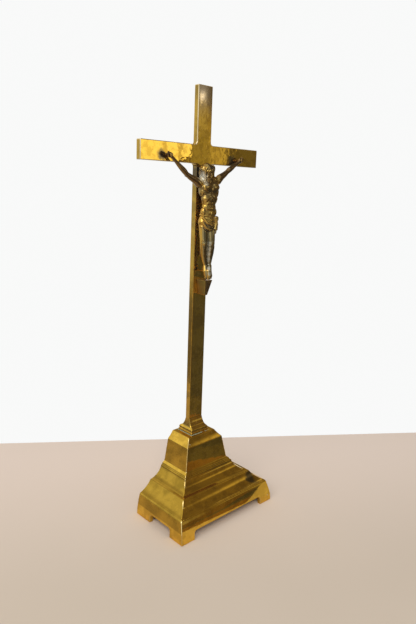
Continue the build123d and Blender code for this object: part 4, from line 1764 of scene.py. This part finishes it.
@dataclass
class Studio:
    """Pale floor, soft light, cards and zones of a room for the brass to reflect, and the camera."""

    azimuth: float = -43.54
    elevation: float = 12.72
    roll: float = 2.06
    distance: float = 393.43
    aim: Point = (7.94, AXIS_Y, 147.6)
    focal_pixels: float = 547.64
    image_height: float = 624.0
    sensor: float = 36.0
    floor_edge: Flat = (88.8, 77.0)
    floor_turn: float = -35.56
    floor_size: Flat = (3000.0, 1200.0)
    paint: tuple[Colour, Colour] = ((0.60, 0.50, 0.395), (0.66, 0.55, 0.445))
    far_painted_light: Colour = (0.84, 0.69, 0.58)
    far_painted_light_span: Flat = (-230.0, -10.0)
    shade_turn: float = 43.8
    shades: tuple[tuple[str, Flat, Flat, Colour], ...] = (
        ("shade_near", (80.0, 150.0), (-320.0, 15.0), (0.225, 0.138, 0.042)),
        ("shade_mid", (150.0, 200.0), (-320.0, 15.0), (0.118, 0.106, 0.080)),
        ("shade_warm", (200.0, 1600.0), (-700.0, -40.0), (0.170, 0.112, 0.035)),
        ("shade_far", (200.0, 1600.0), (-40.0, 700.0), (0.085, 0.082, 0.078)),
    )
    panes: tuple[tuple[Flat, Flat, Colour], ...] = (
        ((-80.0, -18.0), (240.0, 240.0), (1.42, 1.38, 1.26)),
        ((-18.0, -13.0), (240.0, 254.0), (1.15, 1.08, 0.92)),
        ((-13.0, 1.0), (254.0, 264.0), (1.42, 1.38, 1.26)),
        ((1.0, 6.0), (264.0, 266.5), (0.95, 0.87, 0.70)),
        ((6.0, 16.0), (266.5, 270.0), (1.42, 1.38, 1.26)),
    )
    pane_turn: float = 38.0
    pane_far: float = 268.0
    pane_top: float = 294.0
    left_tone: Colour = (0.26, 0.22, 0.17)
    left_card: tuple[Point, ...] = (
        (-361.0, 41.0, 0.2),
        (9.0, 376.0, 0.2),
        (-418.0, 850.0, 0.2),
        (-788.0, 515.0, 0.2),
    )
    foot_tone: Colour = (0.62, 0.55, 0.46)
    foot_card: tuple[Point, ...] = (
        (47.9, -61.2, 0.0),
        (63.3, -42.8, 20.0),
        (96.8, -2.9, 20.0),
        (96.8, -2.9, 0.0),
    )
    lit_place: Point = (0.0, 0.0, 120.0)
    lamps: tuple[Lamp, ...] = (
        Lamp("window", (-900.0, -350.0, 900.0), 800.0, 7.0, (1.0, 0.97, 0.93), mirrored=True),
        Lamp("ceiling", (300.0, 200.0, 1300.0), 900.0, 2.5, (0.95, 0.98, 1.0)),
        Lamp("daylight", (-620.0, -700.0, 800.0), 420.0, 4.4, (1.0, 0.97, 0.93)),
    )
    soft_light: Colour = (0.92, 0.96, 1.0)
    soft_strength: float = 0.38
    backdrop: Colour = (0.995, 1.0, 0.995)
    low_room: Colour = (0.80, 0.81, 0.82)
    high_room: Colour = (1.0, 1.0, 1.0)
    room_climbs: Flat = (-20.0, 30.0)
    room_strength: float = 0.95
    zones: tuple[Zone, ...] = (
        Zone((0.34, 0.33, 0.31), (-80.0, 34.0), (-90.0, 38.0), (16.0, 6.0), (1.0, 14.0)),
        Zone((0.62, 0.58, 0.48), (138.0, 181.0), (30.0, 60.0), (8.0, 0.5), (6.0, 6.0)),
        Zone((0.62, 0.58, 0.48), (-181.0, -166.0), (30.0, 60.0), (0.5, 6.0), (6.0, 6.0)),
        Zone((0.30, 0.24, 0.10), (112.0, 146.0), (17.0, 72.0), (6.0, 8.0), (3.0, 8.0)),
        Zone((0.175, 0.130, 0.042), (33.0, 118.0), (17.0, 72.0), (4.0, 6.0), (5.0, 8.0)),
        Zone((0.180, 0.125, 0.036), (33.0, 112.0), (-90.0, 22.0), (4.0, 12.0), (1.0, 6.0)),
        Zone((0.080, 0.075, 0.070), (41.0, 46.0), (-90.0, 0.0), (1.5, 4.0), (1.0, 2.0)),
        Zone((0.66, 0.56, 0.34), (50.0, 57.0), (27.0, 41.0), (5.0, 3.0), (5.0, 5.0)),
        Zone((0.36, 0.325, 0.17), (41.0, 43.2), (0.8, 7.0), (0.5, 0.6), (0.6, 2.0)),
        Zone((0.60, 0.54, 0.34), (43.2, 45.2), (0.8, 7.0), (0.6, 0.6), (0.6, 2.0)),
        Zone((0.165, 0.145, 0.07), (45.2, 52.0), (0.8, 7.0), (0.6, 2.0), (0.6, 2.0)),
        Zone((0.50, 0.47, 0.42), (38.0, 43.0), (5.6, 12.0), (1.0, 0.8), (0.8, 2.0)),
        Zone((4.40, 4.25, 4.05), (41.85, 42.3), (8.45, 9.15), (0.3, 0.45), (0.5, 0.4)),
        Zone((0.85, 0.78, 0.72), (84.0, 104.0), (42.5, 48.0), (3.0, 3.0), (1.5, 1.0)),
        Zone((1.25, 1.25, 1.25), (-75.0, -28.0), (-6.0, 24.0), (6.0, 6.0), (4.0, 6.0)),
    )

    def camera(self) -> None:
        """Put the camera where the picture was taken from."""
        azimuth, elevation, roll = (math.radians(a) for a in (self.azimuth, self.elevation, self.roll))
        level = Vector((math.cos(azimuth), math.sin(azimuth), 0.0))
        out = math.cos(elevation)
        back = Vector((math.sin(azimuth) * out, -math.cos(azimuth) * out, math.sin(elevation)))
        rise = back.cross(level)
        right = math.cos(roll) * level + math.sin(roll) * rise
        up = math.cos(roll) * rise - math.sin(roll) * level
        place = level * self.aim[0] + Vector((0.0, self.aim[1], self.aim[2])) + back * self.distance
        data = bpy.data.cameras.new("camera")
        data.sensor_width = self.sensor
        data.lens = self.focal_pixels / self.image_height * self.sensor
        data.clip_start = 0.01
        data.clip_end = 20.0
        made = bpy.data.objects.new("camera", data)
        bpy.context.scene.collection.objects.link(made)
        turn = Matrix((right, up, back)).transposed().to_4x4()
        made.matrix_world = Matrix.Translation(place * MM) @ turn
        bpy.context.scene.camera = made

    def floor(self) -> None:
        """Pale painted table top that ends behind the object, lighter towards its back edge as painted light.
        """
        turn = math.radians(self.floor_turn)
        back = Vector((-math.sin(turn), math.cos(turn), 0.0))
        middle = Vector((*self.floor_edge, 0.0)) - back * self.floor_size[1] / 2
        Bench.clear()
        bpy.ops.mesh.primitive_plane_add(size=1.0, location=middle * MM, rotation=(0.0, 0.0, turn))
        made = bpy.context.object
        made.name = "floor"
        made.scale = (self.floor_size[0] * MM, self.floor_size[1] * MM, 1.0)
        bpy.ops.object.transform_apply(location=True, rotation=True, scale=True)
        finish, graph = new_material("floor_paint")
        place = graph.place()
        clouds = graph.noise(place, 160.0, 3.0)
        colour = graph.mix(clouds, *self.paint)
        across, along, _ = graph.axes(place)
        from_edge = (across - self.floor_edge[0]) * back.x + (along - self.floor_edge[1]) * back.y
        # painted light: lighter towards the back edge
        colour = graph.mix(graph.step(from_edge, *self.far_painted_light_span), colour, self.far_painted_light)
        graph.surface(Base_Color=colour, Roughness=0.55 + 0.1 * clouds, Specular_IOR_Level=0.0)
        made.data.materials.append(finish)

    @staticmethod
    def card(name: str, corners: Sequence[Point], tone: Colour) -> None:
        """Glowing card that only the brass sees: a painted reflection, not a lamp.

        Args:
            name: name of the card.
            corners: its corners, in order.
            tone: its colour.
        """
        mesh = bpy.data.meshes.new(name)
        mesh.from_pydata([Vector(corner) * MM for corner in corners], [], [range(len(corners))])
        made = bpy.data.objects.new(name, mesh)
        bpy.context.scene.collection.objects.link(made)
        finish, graph = new_material(name)
        glowing = graph.value("ShaderNodeEmission", {}, {"Color": tone, "Strength": 1.0})
        graph.node("ShaderNodeOutputMaterial", {}, {"Surface": glowing})
        mesh.materials.append(finish)
        made.visible_camera = made.visible_diffuse = made.visible_shadow = False

    def cards(self) -> None:
        """Lay glowing cards that only the brass sees, as painted reflections: strips over the floor for its
        shade, panes of a window, a pale card by the right foot and one to the left.
        """

        def spot(turn: float, far: float, across: float, high: float = 0.2) -> Point:
            """A place out from the middle at a turn to the right, and across that line."""
            out = Vector((math.sin(math.radians(turn)), -math.cos(math.radians(turn)), 0.0))
            return tuple(out * far + Vector((-out.y, out.x, 0.0)) * across + Vector((0.0, 0.0, high)))

        for name, (near, far), (left, right), tone in self.shades:
            places = ((near, left), (far, left), (far, right), (near, right))
            self.card(name, [spot(self.shade_turn, *place) for place in places], tone)
        for index, ((left, right), (low_left, low_right), tone) in enumerate(self.panes):
            places = ((left, low_left), (right, low_right), (right, self.pane_top), (left, self.pane_top))
            corners = [spot(self.pane_turn, self.pane_far, *place) for place in places]
            self.card(f"pane_{index}", corners, tone)
        self.card("foot_card", self.foot_card, self.foot_tone)
        self.card("left_card", self.left_card, self.left_tone)

    def world(self) -> None:
        """White surroundings for the camera, a room in zones for the metal, and a soft light for the rest."""
        made = bpy.data.worlds.new("surroundings")
        made.use_nodes = True
        bpy.context.scene.world = made
        graph = Graph(made.node_tree)
        path = graph.node("ShaderNodeLightPath")
        rays = ("Is Camera Ray", "Is Glossy Ray", "Is Transmission Ray")
        seen, metal, glass = (Value(graph, path.outputs[name]) for name in rays)
        across, along, rise = graph.axes(graph.value("ShaderNodeTexCoord", output="Generated"))
        turn = graph.math("ARCTAN2", across, along * -1.0) * math.degrees(1.0)
        climb = graph.math("ARCSINE", rise) * math.degrees(1.0)
        room = graph.mix(graph.step(climb, *self.room_climbs), self.low_room, self.high_room)
        for zone in self.zones:
            room = zone.laid(graph, turn, climb, room)
        soft, pale, around = (
            graph.value("ShaderNodeBackground", {}, {"Color": tone, "Strength": strength})
            for tone, strength in (
                (self.soft_light, self.soft_strength),
                (self.backdrop, self.room_strength),
                (room, self.room_strength),
            )
        )
        shown = graph.math("MINIMUM", seen + glass, 1.0)
        unseen = graph.value("ShaderNodeMixShader", {}, {0: metal, 1: soft, 2: around})
        both = graph.value("ShaderNodeMixShader", {}, {0: shown, 1: unseen, 2: pale})
        graph.node("ShaderNodeOutputWorld", {}, {"Surface": both})

    def build(self) -> None:
        """Set up the whole studio."""
        self.camera()
        self.floor()
        self.world()
        for lamp in self.lamps:
            lamp.hang(self.lit_place)
        self.cards()
        bpy.context.scene.view_settings.view_transform = "Standard"


def main() -> None:
    """Build the object and its setting."""
    logging.basicConfig(level=logging.INFO, format="%(name)s: %(message)s")
    Studio().build()
    for part in (Pedestal(), BarCross(), FootConsole(), Figure()):
        made = part.dress(part.build())
        LOG.info("%s: %d faces", made.name, len(made.data.polygons))
    Fixings().dress()


if __name__ == "__main__":
    main()
